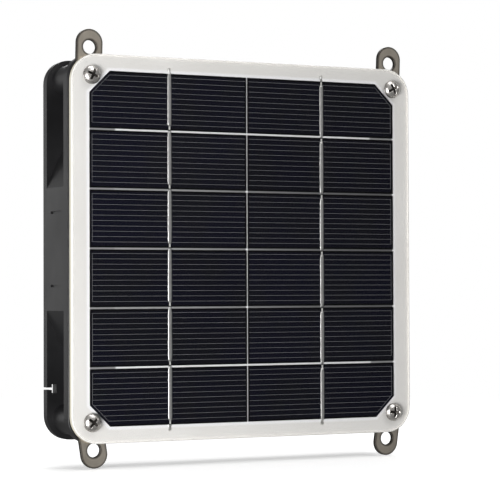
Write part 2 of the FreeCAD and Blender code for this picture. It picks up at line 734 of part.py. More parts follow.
def array_outline(sketch, margin):
    """The cell array's outline with its cut corners, and a margin round it."""
    side, end = "(array_side + %s)" % margin, "(array_end + %s)" % margin
    in_side = "(array_side - array_chamfer + %s * 0.4)" % margin
    in_end = "(array_end - array_chamfer + %s * 0.4)" % margin
    polygon(sketch, [
        (in_side, end), (side, in_end), (side, "-" + in_end), (in_side, "-" + end),
        ("-" + in_side, "-" + end), ("-" + side, "-" + in_end), ("-" + side, in_end),
        ("-" + in_side, end)])


def make_panel_board():
    """White board that carries the cells."""
    body = new_body("panel_board")
    rounded_plate(body, "panel_plate", "half_panel", "panel_corner", "panel_back", "panel_board_thick")
    holes = front_sketch(body, "panel_holes", "panel_back")
    corner_circles(holes, "screw_radius + panel_hole_clearance")
    cut(body, holes, "panel_board_thick")
    back = measure("panel_back")
    hole = measure("screw_radius + panel_hole_clearance")
    round_edges(body, "panel_round", lambda edge: at_station(edge, back) and not has_radius(edge, hole))
    return body


def make_panel_cover():
    """Clear cover bonded to the board's rim, hollow over the cells and their ribbons."""
    body = new_body("panel_cover")
    rounded_plate(body, "cover_plate", "half_panel", "panel_corner", "board_front", "panel_cover_thick")
    front = measure("panel_front")
    round_edges(body, "panel_cover_thick * 0.6", lambda edge: at_station(edge, front))
    hollow = front_sketch(body, "cell_hollow", "board_front")
    array_outline(hollow, "cavity_margin")
    cut(body, hollow, "panel_cover_thick - cover_skin")
    tails = front_sketch(body, "tail_hollow", "board_front")
    for sign in ("", "-"):
        middle = sign + "column_middle"
        half = "(ribbon_width / 2 + cavity_margin)"
        reach = "(array_end + ribbon_tail + cavity_margin)"
        rectangle(tails, "%s - %s" % (middle, half), "%s + %s" % (middle, half), "-" + reach, reach)
    cut(body, tails, "panel_cover_thick - cover_skin")
    holes = front_sketch(body, "cover_holes", "board_front")
    corner_circles(holes, "screw_radius + panel_hole_clearance")
    cut(body, holes, "panel_cover_thick")
    return body


CELL_ROWS = int(measure("cell_rows"))


def make_cell(row, column):
    """One solar cell; the four at the array's corners have a cut corner."""
    body = new_body("cell_row%d_%s" % (row + 1, ("left", "right")[column]))
    sketch = front_sketch(body, body.Label + "_outline", "cell_back")
    sign = ("-", "")[column]
    inner, outer = sign + "column_gap / 2", sign + "array_side"
    top = "(array_end - %d * row_pitch)" % row
    bottom = "(%s - (row_pitch - row_gap))" % top
    cut_in = "%s(array_side - array_chamfer)" % sign
    if row == 0:
        outline = [(inner, bottom), (outer, bottom), (outer, top + " - array_chamfer"),
                   (cut_in, top), (inner, top)]
    elif row == CELL_ROWS - 1:
        outline = [(inner, bottom), (cut_in, bottom), (outer, bottom + " + array_chamfer"),
                   (outer, top), (inner, top)]
    else:
        outline = [(inner, bottom), (outer, bottom), (outer, top), (inner, top)]
    polygon(sketch, outline)
    pad(body, sketch, "cell_thick")
    return body


def make_ribbon(label, row, column):
    """A ribbon on the front of one cell, which dips through the gap and runs under the next.

    The right column is joined from the top down and the left one from the bottom up.
    """
    body = new_body(label)
    middle = ("-", "")[column] + "column_middle"
    sketch = plane_sketch(body, label + "_outline", "YZ_Plane", middle + " - ribbon_width / 2")
    back = "board_front"
    back_face = "(board_front + ribbon_thick)"
    front = "(cell_back + cell_thick)"
    front_face = "(cell_back + cell_thick + ribbon_thick)"
    top = "(array_end - %d * row_pitch)" % row
    gap = "(%s - row_pitch + row_gap / 2)" % top
    leg_top, leg_low = gap + " + ribbon_leg / 2", gap + " - ribbon_leg / 2"
    last = row == CELL_ROWS - 1
    end = "-array_end - ribbon_tail" if last else gap + " - ribbon_lap"
    outline = [(front, top + " - row_gap"), (front, leg_top), (back, leg_top), (back, end),
               (back_face, end), (back_face, leg_low), (front_face, leg_low),
               (front_face, top + " - row_gap")]
    sense = ("-", "")[column]
    polygon(sketch, [("-" + station, "%s(%s)" % (sense, height)) for station, height in outline])
    pad(body, sketch, "ribbon_width")
    return body


def make_ribbons(column):
    """All the ribbons of one column of cells, with the tail under its first cell."""
    side = ("left", "right")[column]
    pieces = [make_ribbon("ribbon_%s_%d" % (side, row + 1), row, column) for row in range(CELL_ROWS)]
    tail = new_body("ribbon_%s_tail" % side)
    sketch = front_sketch(tail, tail.Label + "_outline", "board_front")
    sense = ("-", "")[column]
    middle = sense + "column_middle"
    rectangle(sketch, middle + " - ribbon_width / 2", middle + " + ribbon_width / 2",
              sense + "(array_end - ribbon_lap)", sense + "(array_end + ribbon_tail)")
    pad(tail, sketch, "ribbon_thick")
    group = doc.addObject("Part::Compound", "ribbons_" + side)
    group.Label = "ribbons_" + side
    group.Links = pieces + [tail]
    return group


def make_panel():
    """Board, cover, cells and ribbons."""
    pieces = [make_panel_board(), make_panel_cover()]
    pieces += [make_cell(row, column) for row in range(CELL_ROWS) for column in (0, 1)]
    pieces += [make_ribbons(column) for column in (0, 1)]
    return pieces


# ---------------------------------------------------------------- ears and screws

def make_ear(label, across, up, lean):
    """A flat ear on a corner screw, leaning by an angle from straight up."""
    body = new_body(label)
    strap = front_sketch(body, label + "_strap")
    rectangle(strap, "-ear_width / 2", "ear_width / 2", "0", "ear_reach")
    pad(body, strap, "ear_thick")
    for name, height in (("pivot_end", "0"), ("free_end", "ear_reach")):
        sketch = front_sketch(body, "%s_%s" % (label, name))
        circle(sketch, "ear_width / 2", "0", height)
        pad(body, sketch, "ear_thick")
    holes = front_sketch(body, label + "_holes")
    circle(holes, "screw_radius + ear_pivot_fit")
    circle(holes, "ear_hole_radius", "0", "ear_hole_reach")
    cut(body, holes, "ear_thick")
    thick, pivot = measure("ear_thick"), measure("screw_radius + ear_pivot_fit")
    round_edges(body, "ear_round", lambda edge: (at_station(edge, 0) or at_station(edge, thick))
                and not has_radius(edge, pivot))
    place(body, across, "frame_depth", up)
    swing(body, lean)
    return body


def make_ears():
    """Four ears; the upper pair point up and the lower pair point down."""
    return [
        make_ear("ear_top_left", "-corner_hole", "corner_hole", "tilt_top_left"),
        make_ear("ear_top_right", "corner_hole", "corner_hole", "tilt_top_right"),
        make_ear("ear_bottom_left", "-corner_hole", "-corner_hole", "180 - tilt_bottom_left"),
        make_ear("ear_bottom_right", "corner_hole", "-corner_hole", "180 + tilt_bottom_right"),
    ]


def make_screws():
    """Four pan-head self-tapping screws through the panel and the ears into the corner posts."""
    body = new_body("screw")
    end = "frame_depth - screw_grip"
    turn(body, "screw_outline", [
        ("0", end), ("screw_radius * 0.2", end), ("screw_radius", end + " + screw_point"),
        ("screw_radius", "panel_front"), ("head_radius", "panel_front"),
        ("head_radius", "panel_front + head_height"), ("0", "panel_front + head_height")])
    crown = measure("panel_front + head_height")
    round_edges(body, "head_round", lambda edge: at_station(edge, crown))
    depth = "panel_front + head_height - recess_depth"
    for name, wide, high in (("recess_flat", "recess_length", "recess_width"),
                             ("recess_upright", "recess_width", "recess_length")):
        wing = front_sketch(body, name, depth)
        rectangle(wing, "-%s / 2" % wide, wide + " / 2", "-%s / 2" % high, high + " / 2")
        cut(body, wing, "recess_depth + 1")
    place(body, "corner_hole", "0", "corner_hole")

    def mirrored(source, normal):
        copy = doc.addObject("Part::Mirroring", source.Name + "_mirrored")
        copy.Source = source
        copy.Normal = normal
        return copy

    left = mirrored(body, Vector(1, 0, 0))
    group = doc.addObject("Part::Compound", "panel_screws")
    group.Label = "panel_screws"
    group.Links = [body, left, mirrored(body, Vector(0, 0, 1)), mirrored(left, Vector(0, 0, 1))]
    return group


# ---------------------------------------------------------------- leads

def make_lead(label, side, run):
    """An insulated lead: out along the wiring strut, round a bend, forward to the panel's back.

    Drawn along +X and then swung onto the lower right diagonal.
    """
    body = new_body(label)
    offset = "%slead_spread" % side
    path = plane_sketch(body, label + "_route", "XY_Plane", offset)
    bend_start = ("(%s) - lead_bend" % run, "-lead_station")
    bend_end = (run, "-(lead_station + lead_bend)")
    start, finish = ("lead_start", "-lead_station"), (run, "-panel_back")

    def spot(pair):
        return Vector(measure(pair[0]), measure(pair[1]), 0)

    along = path.addGeometry(Part.LineSegment(spot(start), spot(bend_start)))
    centre = Vector(measure(bend_start[0]), measure(bend_end[1]), 0)
    corner = centre + Vector(1, 1, 0) * (measure("lead_bend") * math.sqrt(0.5))
    bend = path.addGeometry(Part.Arc(spot(bend_end), corner, spot(bend_start)))
    forward = path.addGeometry(Part.LineSegment(spot(bend_end), spot(finish)))
    path.addConstraint(Sketcher.Constraint("Coincident", along, 2, bend, 2))
    path.addConstraint(Sketcher.Constraint("Coincident", bend, 1, forward, 1))
    for geometry, end, pair in ((along, 1, start), (along, 2, bend_start),
                                (forward, 1, bend_end), (forward, 2, finish)):
        pin_point(path, geometry, end, *pair)
    size = path.addConstraint(Sketcher.Constraint("Radius", bend, measure("lead_bend")))
    bind(path, "Constraints[%d]" % size, "lead_bend")

    section = plane_sketch(body, label + "_section", "YZ_Plane", "lead_start")
    circle(section, "lead_radius", "-lead_station", offset)
    pipe = body.newObject("PartDesign::AdditivePipe", label + "_pipe")
    pipe.Profile = section
    pipe.Spine = (path, ["Edge1", "Edge2", "Edge3"])
    doc.recompute()
    swing(body, "45")
    length = sum(edge.Length for edge in path.Shape.Edges)
    expected = math.pi * measure("lead_radius") ** 2 * length
    print("%s: length %.1f mm, bend %.1f mm, volume %.2f of %.2f mm3"
          % (label, length, measure("lead_bend"), body.Shape.Volume, expected))
    return body


def make_solder(label, side, run):
    """Solder joint where a lead meets the back of the panel."""
    body = turned_body(label, [
        ("lead_radius", "panel_back - solder_height"), ("lead_radius + 0.2", "panel_back - solder_height"),
        ("solder_radius", "panel_back"), ("lead_radius", "panel_back")])
    spread = "(%slead_spread)" % side
    place(body, "((%s) + %s) * sqrt(0.5)" % (run, spread), "0",
          "(%s - (%s)) * sqrt(0.5)" % (spread, run))
    return body


def make_leads():
    """Red and black leads with their solder joints."""
    runs = (("red", "-", "red_run"), ("black", "", "red_run + lead_stagger"))
    pieces = [make_lead("lead_" + colour, side, run) for colour, side, run in runs]
    return pieces + [make_solder("solder_" + colour, side, run) for colour, side, run in runs]


# ---------------------------------------------------------------- assembly, checks and files

def check(subparts):
    """Stops on any object that failed to recompute and on any sub-part without a sound shape."""
    for item in doc.Objects:
        if {"Invalid", "Error"} & set(item.State):
            raise RuntimeError("%s is %s" % (item.Name, item.State))
    for item in subparts:
        shape = item.Shape
        if shape.isNull() or not shape.isValid() or not shape.Solids:
            raise RuntimeError("%s has no sound shape" % item.Label)


def main():
    subparts = [make_frame()]
    subparts += make_bearing()
    subparts += make_stator()
    subparts += make_rotor()
    subparts += make_panel()
    subparts += make_ears()
    subparts.append(make_screws())
    subparts += make_leads()
    doc.recompute()
    check(subparts)
    os.makedirs("parts", exist_ok=True)
    for item in subparts:
        item.Shape.exportStep("parts/%s.step" % item.Label)
        box = item.Shape.BoundBox
        print("%-20s solids %d  volume %9.2f  x %.2f..%.2f  y %.2f..%.2f  z %.2f..%.2f"
              % (item.Label, len(item.Shape.Solids), item.Shape.Volume,
                 box.XMin, box.XMax, box.YMin, box.YMax, box.ZMin, box.ZMax))


main()
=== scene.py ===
# %% [markdown]
# # Dressing a solar attic fan
#
# The fan is a square black plastic frame with a brushless motor in the middle, a white panel with
# twelve solar cells screwed over its intake side, and four flat steel ears that hang it up. The
# mechanical model is already made. This file loads it as a fixed frame, gives every part a
# procedural finish, and adds the fine pieces that a mechanical model leaves out: the silver
# printing on the cells, the soldered ribbons and the heads of the screws.

import math
import random

import bmesh
import bpy
from mathutils import Matrix, Vector


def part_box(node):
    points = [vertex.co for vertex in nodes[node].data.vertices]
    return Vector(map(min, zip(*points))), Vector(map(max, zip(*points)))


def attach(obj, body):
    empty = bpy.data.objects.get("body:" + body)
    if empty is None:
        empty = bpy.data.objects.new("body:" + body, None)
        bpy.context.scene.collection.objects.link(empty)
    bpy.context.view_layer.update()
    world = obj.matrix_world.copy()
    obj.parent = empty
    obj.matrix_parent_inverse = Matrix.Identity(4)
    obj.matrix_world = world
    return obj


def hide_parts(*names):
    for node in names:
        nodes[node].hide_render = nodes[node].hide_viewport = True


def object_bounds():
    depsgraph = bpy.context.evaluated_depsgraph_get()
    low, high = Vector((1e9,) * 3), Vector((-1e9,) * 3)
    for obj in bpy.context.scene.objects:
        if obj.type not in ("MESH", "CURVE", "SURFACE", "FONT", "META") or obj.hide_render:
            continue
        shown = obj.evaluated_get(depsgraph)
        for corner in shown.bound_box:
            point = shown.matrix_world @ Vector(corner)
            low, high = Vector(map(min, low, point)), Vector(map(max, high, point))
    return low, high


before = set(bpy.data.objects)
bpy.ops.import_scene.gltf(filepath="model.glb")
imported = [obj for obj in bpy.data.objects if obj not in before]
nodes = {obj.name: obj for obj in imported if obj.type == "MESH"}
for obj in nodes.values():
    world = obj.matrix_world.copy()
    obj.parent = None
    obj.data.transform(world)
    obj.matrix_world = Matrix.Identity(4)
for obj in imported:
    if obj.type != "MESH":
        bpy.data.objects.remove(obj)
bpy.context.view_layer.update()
MM = 0.001

# %% [markdown]
# ## Where the camera stands
#
# A product picture of a flat object is taken from well back with a long lens, so that the square
# panel keeps its shape. The camera's place is given from the panel's middle, and its three turns
# are a swing to the left, a slight look upwards and a very small tilt.

# %% The camera
PANEL_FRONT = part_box("panel_cover")[0].y
FOCAL_LENGTH, SENSOR_WIDTH = 140.7, 36.0
CAMERA_LEFT, CAMERA_AWAY, CAMERA_BELOW = 323.36 * MM, 650.56 * MM, 15.25 * MM
SWING, LOOK_UP, TILT = -26.494, 1.185, 0.202

camera_data = bpy.data.cameras.new("studio_camera")
camera_data.lens = FOCAL_LENGTH
camera_data.sensor_width = SENSOR_WIDTH
camera = bpy.data.objects.new("studio_camera", camera_data)
bpy.context.collection.objects.link(camera)
turned = Matrix.Identity(3)
for angle, axis in ((SWING, "Z"), (LOOK_UP, "X"), (TILT, "Y")):
    turned = turned @ Matrix.Rotation(math.radians(angle), 3, axis)
right, ahead, up = (turned @ Vector(axis) for axis in ((1, 0, 0), (0, 1, 0), (0, 0, 1)))
facing = Matrix((right, up, -ahead)).transposed().to_4x4()
place = Vector((-CAMERA_LEFT, PANEL_FRONT - CAMERA_AWAY, -CAMERA_BELOW))
camera.matrix_world = Matrix.Translation(place) @ facing
bpy.context.scene.camera = camera
print("camera at", tuple(round(value, 3) for value in camera.matrix_world.translation))

# %% [markdown]
# ## A small language for node trees
#
# A finish is a tree of nodes, and most of its nodes are arithmetic. Written one node at a time, that
# is long and hard to read. `Wire` wraps a socket and overloads the operators, so an expression such
# as `1 - mask * 0.5` adds its own Math nodes. `Graph.node` makes every other node: it takes the
# node's type, the settings to set first, and the values or wires of its sockets.

# %% Wires and graphs
class Wire:
    """A socket that takes part in arithmetic."""

    def __init__(self, graph, socket):
        self.graph, self.socket = graph, socket

    def math(self, operation, *others, clamp=False):
        values = dict(enumerate((self,) + others))
        return self.graph.node("ShaderNodeMath", {"operation": operation, "use_clamp": clamp}, values)

    def __add__(self, other):
        return self.math("ADD", other)

    def __mul__(self, other):
        return self.math("MULTIPLY", other)

    def __sub__(self, other):
        return self.math("SUBTRACT", other)

    def __rsub__(self, other):
        return self.graph.node("ShaderNodeMath", {"operation": "SUBTRACT"}, {0: other, 1: self})

    def __truediv__(self, other):
        return self.math("DIVIDE", other)

    __radd__, __rmul__ = __add__, __mul__

    def rise(self, low, high):
        """0 below low, 1 above high, smooth between."""
        limits = {"Value": self, "From Min": low, "From Max": high}
        return self.graph.node("ShaderNodeMapRange", {"interpolation_type": "SMOOTHSTEP"}, limits)


class Graph:
    """A node tree under construction."""

    def __init__(self, tree):
        self.tree = tree

    def make(self, kind, settings=None, sockets=None):
        """Adds a node and returns it."""
        made = self.tree.nodes.new(kind)
        for name, value in (settings or {}).items():
            setattr(made, name, value)
        for key, value in (sockets or {}).items():
            if isinstance(value, Wire):
                self.tree.links.new(value.socket, made.inputs[key])
            else:
                made.inputs[key].default_value = value
        return made

    def node(self, kind, settings=None, sockets=None, output=0):
        """Adds a node and returns one of its outputs as a wire."""
        return Wire(self, self.make(kind, settings, sockets).outputs[output])


class Finish(Graph):
    """A material made of nodes, on the piece's own Object coordinates."""

    def __init__(self, name):
        self.material = bpy.data.materials.new(name)
        self.material.use_nodes = True
        super().__init__(self.material.node_tree)
        self.tree.nodes.clear()
        self.place = self.node("ShaderNodeTexCoord", output="Object")

    def axis(self, letter):
        """One coordinate of the place on the piece, in metres."""
        return self.node("ShaderNodeSeparateXYZ", None, {0: self.place}, output="XYZ".index(letter))

    def stretched(self, across, along, upward):
        """The place with each direction scaled, for grain that runs one way."""
        scale = {0: self.place, 1: (across, along, upward)}
        return self.node("ShaderNodeVectorMath", {"operation": "MULTIPLY"}, scale)

    def noise(self, scale, detail=3.0, rough=0.55, place=None):
        """Soft random blotches; scale is in blotches a metre."""
        sockets = {"Vector": place or self.place, "Scale": scale, "Detail": detail, "Roughness": rough}
        return self.node("ShaderNodeTexNoise", None, sockets)

    def blend(self, factor, low, high):
        """A colour between two colours."""
        sockets = {0: factor, 6: colour(low), 7: colour(high)}
        return self.node("ShaderNodeMix", {"data_type": "RGBA"}, sockets, output=2)

    def bump(self, height, depth, under=None):
        """A normal from a height of 0 to 1, with its depth in metres."""
        sockets = {"Height": height, "Distance": depth, "Strength": 1.0}
        if under is not None:
            sockets["Normal"] = under
        return self.node("ShaderNodeBump", None, sockets)

    def shade(self, **sockets):
        """Ends the tree in one Principled shader; underscores in names stand for spaces."""
        named = {key.replace("_", " "): value for key, value in sockets.items()}
        surface = self.node("ShaderNodeBsdfPrincipled", None, named)
        self.finish(surface)
        return self.material

    def finish(self, surface):
        self.make("ShaderNodeOutputMaterial", None, {"Surface": surface})


def colour(value):
    """An RGBA tuple from an RGB one; a wire passes through."""
    return value if isinstance(value, Wire) else (*value, 1.0)


print("node tree helpers ready")

# %% [markdown]
# ## Black moulded plastic
#
# The frame and the impeller are glass-filled plastic from a spark-eroded mould. Such a mould leaves
# a fine matt grain, and the part is handled, so its roughness drifts a little and pale dust settles
# in a few places. Three scales of noise give these: grain in the bump, drift in the roughness and
# dust in the colour.

# %% Moulded plastics
def moulded(name, dark, pale, roughness, grain=0.000010, dust=0.18):
    """Moulded plastic with a fine matt grain."""
    finish = Finish(name)
    fine = finish.noise(4200.0, 2.0)
    drift = finish.noise(60.0, 3.0)
    specks = finish.noise(900.0, 4.0, 0.7).rise(0.62, 0.8)
    tone = finish.blend(drift.rise(0.35, 0.75) * 0.5 + specks * dust, dark, pale)
    return finish.shade(Base_Color=tone, Roughness=drift * 0.16 + fine * 0.10 + (roughness - 0.13),
                        Normal=finish.bump(fine, grain))


frame_black = moulded("moulded_black", (0.0045, 0.0044, 0.0050), (0.011, 0.0107, 0.0120), 0.46)
blade_black = moulded("moulded_black_blades", (0.014, 0.014, 0.015), (0.028, 0.028, 0.030), 0.42)
nylon = moulded("natural_nylon", (0.60, 0.56, 0.46), (0.72, 0.69, 0.60), 0.45, dust=0.1)
chip_black = moulded("chip_epoxy", (0.012, 0.012, 0.013), (0.03, 0.03, 0.03), 0.6)
print("moulded plastics ready")

# %% [markdown]
# ## Metals
#
# Two treatments cover the motor's metal. Rolled or brushed metal has a grain that runs one way, which
# is noise squeezed along one axis. Turned metal has rings round its axis, which come from the
# distance to that axis. Plain noise alone would make every metal look cast.

# %% Metals
def brushed(name, low, high, roughness, along=(1.0, 1.0, 0.02), grain=0.000006):
    """Metal with a grain along the axis that is squeezed most."""
    finish = Finish(name)
    lines = finish.noise(5200.0, 3.0, 0.6, finish.stretched(*along))
    haze = finish.noise(140.0, 3.0)
    return finish.shade(Base_Color=finish.blend(lines * 0.5 + haze * 0.5, low, high), Metallic=1.0,
                        Roughness=lines * 0.14 + haze * 0.12 + (roughness - 0.13),
                        Normal=finish.bump(lines, grain))


def turned_metal(name, low, high, roughness, pitch=5000.0):
    """Metal cut on a lathe, with fine rings round the fan's axis."""
    finish = Finish(name)
    across, height = finish.axis("X"), finish.axis("Z")
    radius = (across * across + height * height).math("SQRT")
    rings = (radius * (pitch * math.tau) + finish.noise(300.0) * 4.0).math("SINE") * 0.5 + 0.5
    haze = finish.noise(200.0)
    return finish.shade(Base_Color=finish.blend(rings * 0.4 + haze * 0.6, low, high), Metallic=1.0,
                        Roughness=haze * 0.16 + (roughness - 0.08), Normal=finish.bump(rings, 0.000003))


steel = brushed("ground_steel", (0.48, 0.48, 0.48), (0.66, 0.66, 0.66), 0.28)
laminations = brushed("core_laminations", (0.10, 0.10, 0.105), (0.24, 0.24, 0.25), 0.42,
                      along=(0.02, 1.0, 0.02), grain=0.00002)
brass = turned_metal("turned_brass", (0.55, 0.38, 0.14), (0.80, 0.62, 0.30), 0.26)
bronze = turned_metal("sintered_bronze", (0.30, 0.18, 0.09), (0.48, 0.32, 0.17), 0.45, 900.0)
foil = turned_metal("spun_foil", (0.62, 0.62, 0.63), (0.82, 0.82, 0.83), 0.30, 2200.0)
aluminium = brushed("can_aluminium", (0.62, 0.62, 0.63), (0.80, 0.80, 0.81), 0.25)
print("metals ready")

# %% [markdown]
# ## Ears of plated strip
#
# The flat ears are stamped from nickel-plated strip. The press leaves their sheared edges rough, and
# they are painted dark as shade; the direction that a face looks in tells an edge from a flat side.
# A dark line of painted shade also runs round an ear's outline and its hole. It comes from the
# distance to the ear's middle line. Each ear leans by its own angle, which its box tells, so each has
# its own finish.

# %% Where the ears point
HEAD_RADIUS = 3.35 * MM
SCREW_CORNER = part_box("panel_screws")[1].x - HEAD_RADIUS
EARS = ("ear_top_left", "ear_top_right", "ear_bottom_left", "ear_bottom_right")
EAR_HALF, EAR_REACH = 5.0 * MM, 11.8 * MM
EAR_HOLE, EAR_HOLE_REACH = 2.5 * MM, 10.3 * MM


def ear_line(ear):
    """An ear's pivot and the direction in which it points, from its box."""
    low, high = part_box(ear)
    pivot_x, pivot_z = (math.copysign(SCREW_CORNER, middle) for middle in (low.x + high.x, low.z + high.z))
    outer_z = (high.z - EAR_HALF) if pivot_z > 0 else (low.z + EAR_HALF)
    leans_low = pivot_x - EAR_HALF - low.x > high.x - pivot_x - EAR_HALF
    outer_x = low.x + EAR_HALF if leans_low else high.x - EAR_HALF
    return pivot_x, pivot_z, (outer_x - pivot_x) / EAR_REACH, (outer_z - pivot_z) / EAR_REACH


for ear in EARS:
    lean = math.degrees(math.asin(ear_line(ear)[2]))
    print(ear, "leans %.1f degrees to the %s" % (abs(lean), "right" if lean > 0 else "left"))


# %% Plating of the ears
def stamped(name, ear):
    """Nickel-plated strip with rough sheared edges painted dark as shade, and a painted shade line round its
    outline and hole.
    """
    finish = Finish(name)
    pivot_x, pivot_z, lean_x, lean_z = ear_line(ear)
    across, height = finish.axis("X") - pivot_x, finish.axis("Z") - pivot_z
    along = (across * lean_x + height * lean_z).math("MINIMUM", EAR_REACH).math("MAXIMUM", 0.0)
    off_x, off_z = across - along * lean_x, height - along * lean_z
    inside = EAR_HALF - (off_x * off_x + off_z * off_z).math("SQRT")
    hole_x, hole_z = across - lean_x * EAR_HOLE_REACH, height - lean_z * EAR_HOLE_REACH
    from_hole = (hole_x * hole_x + hole_z * hole_z).math("SQRT") - EAR_HOLE
    # painted shade: a dark line along the ear's outline and round its hole
    outline_shade = 1 - inside.math("MINIMUM", from_hole).rise(0.25 * MM, 1.0 * MM)
    flat = finish.node("ShaderNodeSeparateXYZ", None,
                       {0: finish.node("ShaderNodeNewGeometry", output="Normal")}, output=1)
    edge_and_shade = (1 - flat.math("ABSOLUTE").rise(0.35, 0.8)).math("MAXIMUM", outline_shade * 0.9)
    lines = finish.noise(2600.0, 3.0, 0.6, finish.stretched(1.0, 1.0, 0.05))
    haze = finish.noise(170.0, 4.0, 0.6)
    face = finish.blend(lines * 0.35 + haze * 0.65, (0.56, 0.50, 0.415), (0.80, 0.73, 0.635))
    # the sheared edges and that line are painted near black as shade; the edges are rougher too
    tone = finish.blend(edge_and_shade, face, (0.014, 0.011, 0.008))
    return finish.shade(Base_Color=tone, Metallic=1.0 - edge_and_shade * 0.3,
                        Roughness=lines * 0.12 + haze * 0.16 + edge_and_shade * 0.15 + 0.26,
                        Normal=finish.bump(lines + haze, 0.000008))


ear_finishes = {ear: stamped(ear + "_plating", ear) for ear in EARS}
print("ears plated")

# %% [markdown]
# ## Wire, rubber, laminate and solder
#
# The motor's small parts are seen only when the fan is opened, but they get finishes too. A coil is
# enamelled copper wound in fine turns, which a wave along the coil's height gives. The leads are
# glossy PVC with a faint drag along their length, and solder is a bright metal with soft ripples.

# %% Motor finishes
def coated(name, low, high, roughness, scale=500.0, depth=0.00001, coat=0.0, metal=0.0):
    """A smooth or rippled material with two close tones."""
    finish = Finish(name)
    ripple = finish.noise(scale, 3.0)
    return finish.shade(Base_Color=finish.blend(ripple, low, high), Metallic=metal, Coat_Weight=coat,
                        Roughness=ripple * 0.14 + (roughness - 0.07), Normal=finish.bump(ripple, depth))


def wound(name):
    """Turns of enamelled copper wire, side by side along the fan's axis."""
    finish = Finish(name)
    turns = (finish.axis("Y") * (4200.0 * math.tau)).math("SINE") * 0.5 + 0.5
    drift = finish.noise(400.0)
    tone = finish.blend(turns * 0.7 + drift * 0.3, (0.20, 0.055, 0.018), (0.72, 0.30, 0.12))
    return finish.shade(Base_Color=tone, Metallic=1.0, Roughness=drift * 0.15 + 0.25,
                        Normal=finish.bump(turns, 0.00008))


copper = wound("enamelled_copper")
magnet = coated("bonded_magnet", (0.030, 0.028, 0.026), (0.055, 0.052, 0.048), 0.62, 1500.0)
laminate = coated("green_laminate", (0.010, 0.085, 0.030), (0.020, 0.145, 0.055), 0.32, 260.0, coat=0.4)
red_pvc = coated("red_insulation", (0.42, 0.012, 0.010), (0.60, 0.028, 0.022), 0.34, 700.0, 0.00002)
black_pvc = coated("black_insulation", (0.010, 0.010, 0.011), (0.026, 0.026, 0.028), 0.34, 700.0, 0.00002)
solder = coated("solder", (0.62, 0.62, 0.61), (0.86, 0.86, 0.845), 0.40, 1300.0, 0.00006, metal=1.0)
print("motor finishes ready")

# %% [markdown]
# ## Two distances on the panel
#
# Much of the panel's look follows two outlines: its own rounded square, and the edge of the cells
# with its cut corners. Two functions give the distance to each from Object coordinates, so the
# cover, the board and the cells can all use them.

# %% Distances on the panel
PANEL_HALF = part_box("panel_cover")[1].x
PANEL_CORNER = 10.0 * MM
array_low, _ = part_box("cell_row6_left")
_, array_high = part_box("cell_row1_right")
ARRAY_SIDE, ARRAY_END = array_high.x, array_high.z
CHAMFER = 7.85 * MM


def inside_panel(finish):
    """How far a place lies inside the panel's rounded outline."""
    across, height = (finish.axis(letter).math("ABSOLUTE") - (PANEL_HALF - PANEL_CORNER) for letter in "XZ")
    past_x, past_z = across.math("MAXIMUM", 0.0), height.math("MAXIMUM", 0.0)
    corner = (past_x * past_x + past_z * past_z).math("SQRT")
    return PANEL_CORNER - corner - across.math("MAXIMUM", height).math("MINIMUM", 0.0)


def outside_array(finish):
    """How far a place lies outside the cells' outline, with its cut corners."""
    across, height = (finish.axis(letter).math("ABSOLUTE") for letter in "XZ")
    cut = (across + height - (ARRAY_SIDE + ARRAY_END - CHAMFER)) * math.sqrt(0.5)
    return (across - ARRAY_SIDE).math("MAXIMUM", height - ARRAY_END).math("MAXIMUM", cut)


print("panel reaches %.1f mm, cells %.1f by %.1f mm" % (PANEL_HALF / MM, ARRAY_SIDE / MM, ARRAY_END / MM))

# %% [markdown]
# ## The clear cover
#
# The cover is a thin clear sheet with a rounded rim, where the clear resin turns milky. Real
# refraction would only shift the cells by a hair, and would cost light, so the sheet is drawn as
# what the eye gets from it: it lets everything through, and mirrors a little, more at a flat angle.
# The distance in from the rounded square outline tells the clear middle from the milky rim.

# %% Clear cover
def clear_sheet(name):
    """A sheet that passes light, mirrors a little and turns milky at its rounded rim."""
    finish = Finish(name)
    peel = finish.bump(finish.noise(160.0, 2.0), 0.00002)
    mirror = finish.node("ShaderNodeFresnel", None, {"IOR": 1.40, "Normal": peel}) * 0.35
    through = finish.node("ShaderNodeBsdfTransparent", None, {"Color": (1.0, 1.0, 1.0, 1.0)})
    gloss = finish.node("ShaderNodeBsdfGlossy", None, {"Roughness": 0.16, "Normal": peel})
    window = finish.node("ShaderNodeMixShader", None, {0: mirror, 1: through, 2: gloss})
    cream = finish.blend(finish.noise(90.0), (0.73, 0.715, 0.680), (0.79, 0.775, 0.745))
    milk = finish.node("ShaderNodeBsdfPrincipled", None, {"Base Color": cream, "Roughness": 0.40})
    rim = 1 - inside_panel(finish).rise(0.2 * MM, 0.75 * MM)
    finish.finish(finish.node("ShaderNodeMixShader", None, {0: rim, 1: window, 2: milk}))
    return finish.material


clear = clear_sheet("clear_cover_sheet")
print("cover finish ready")
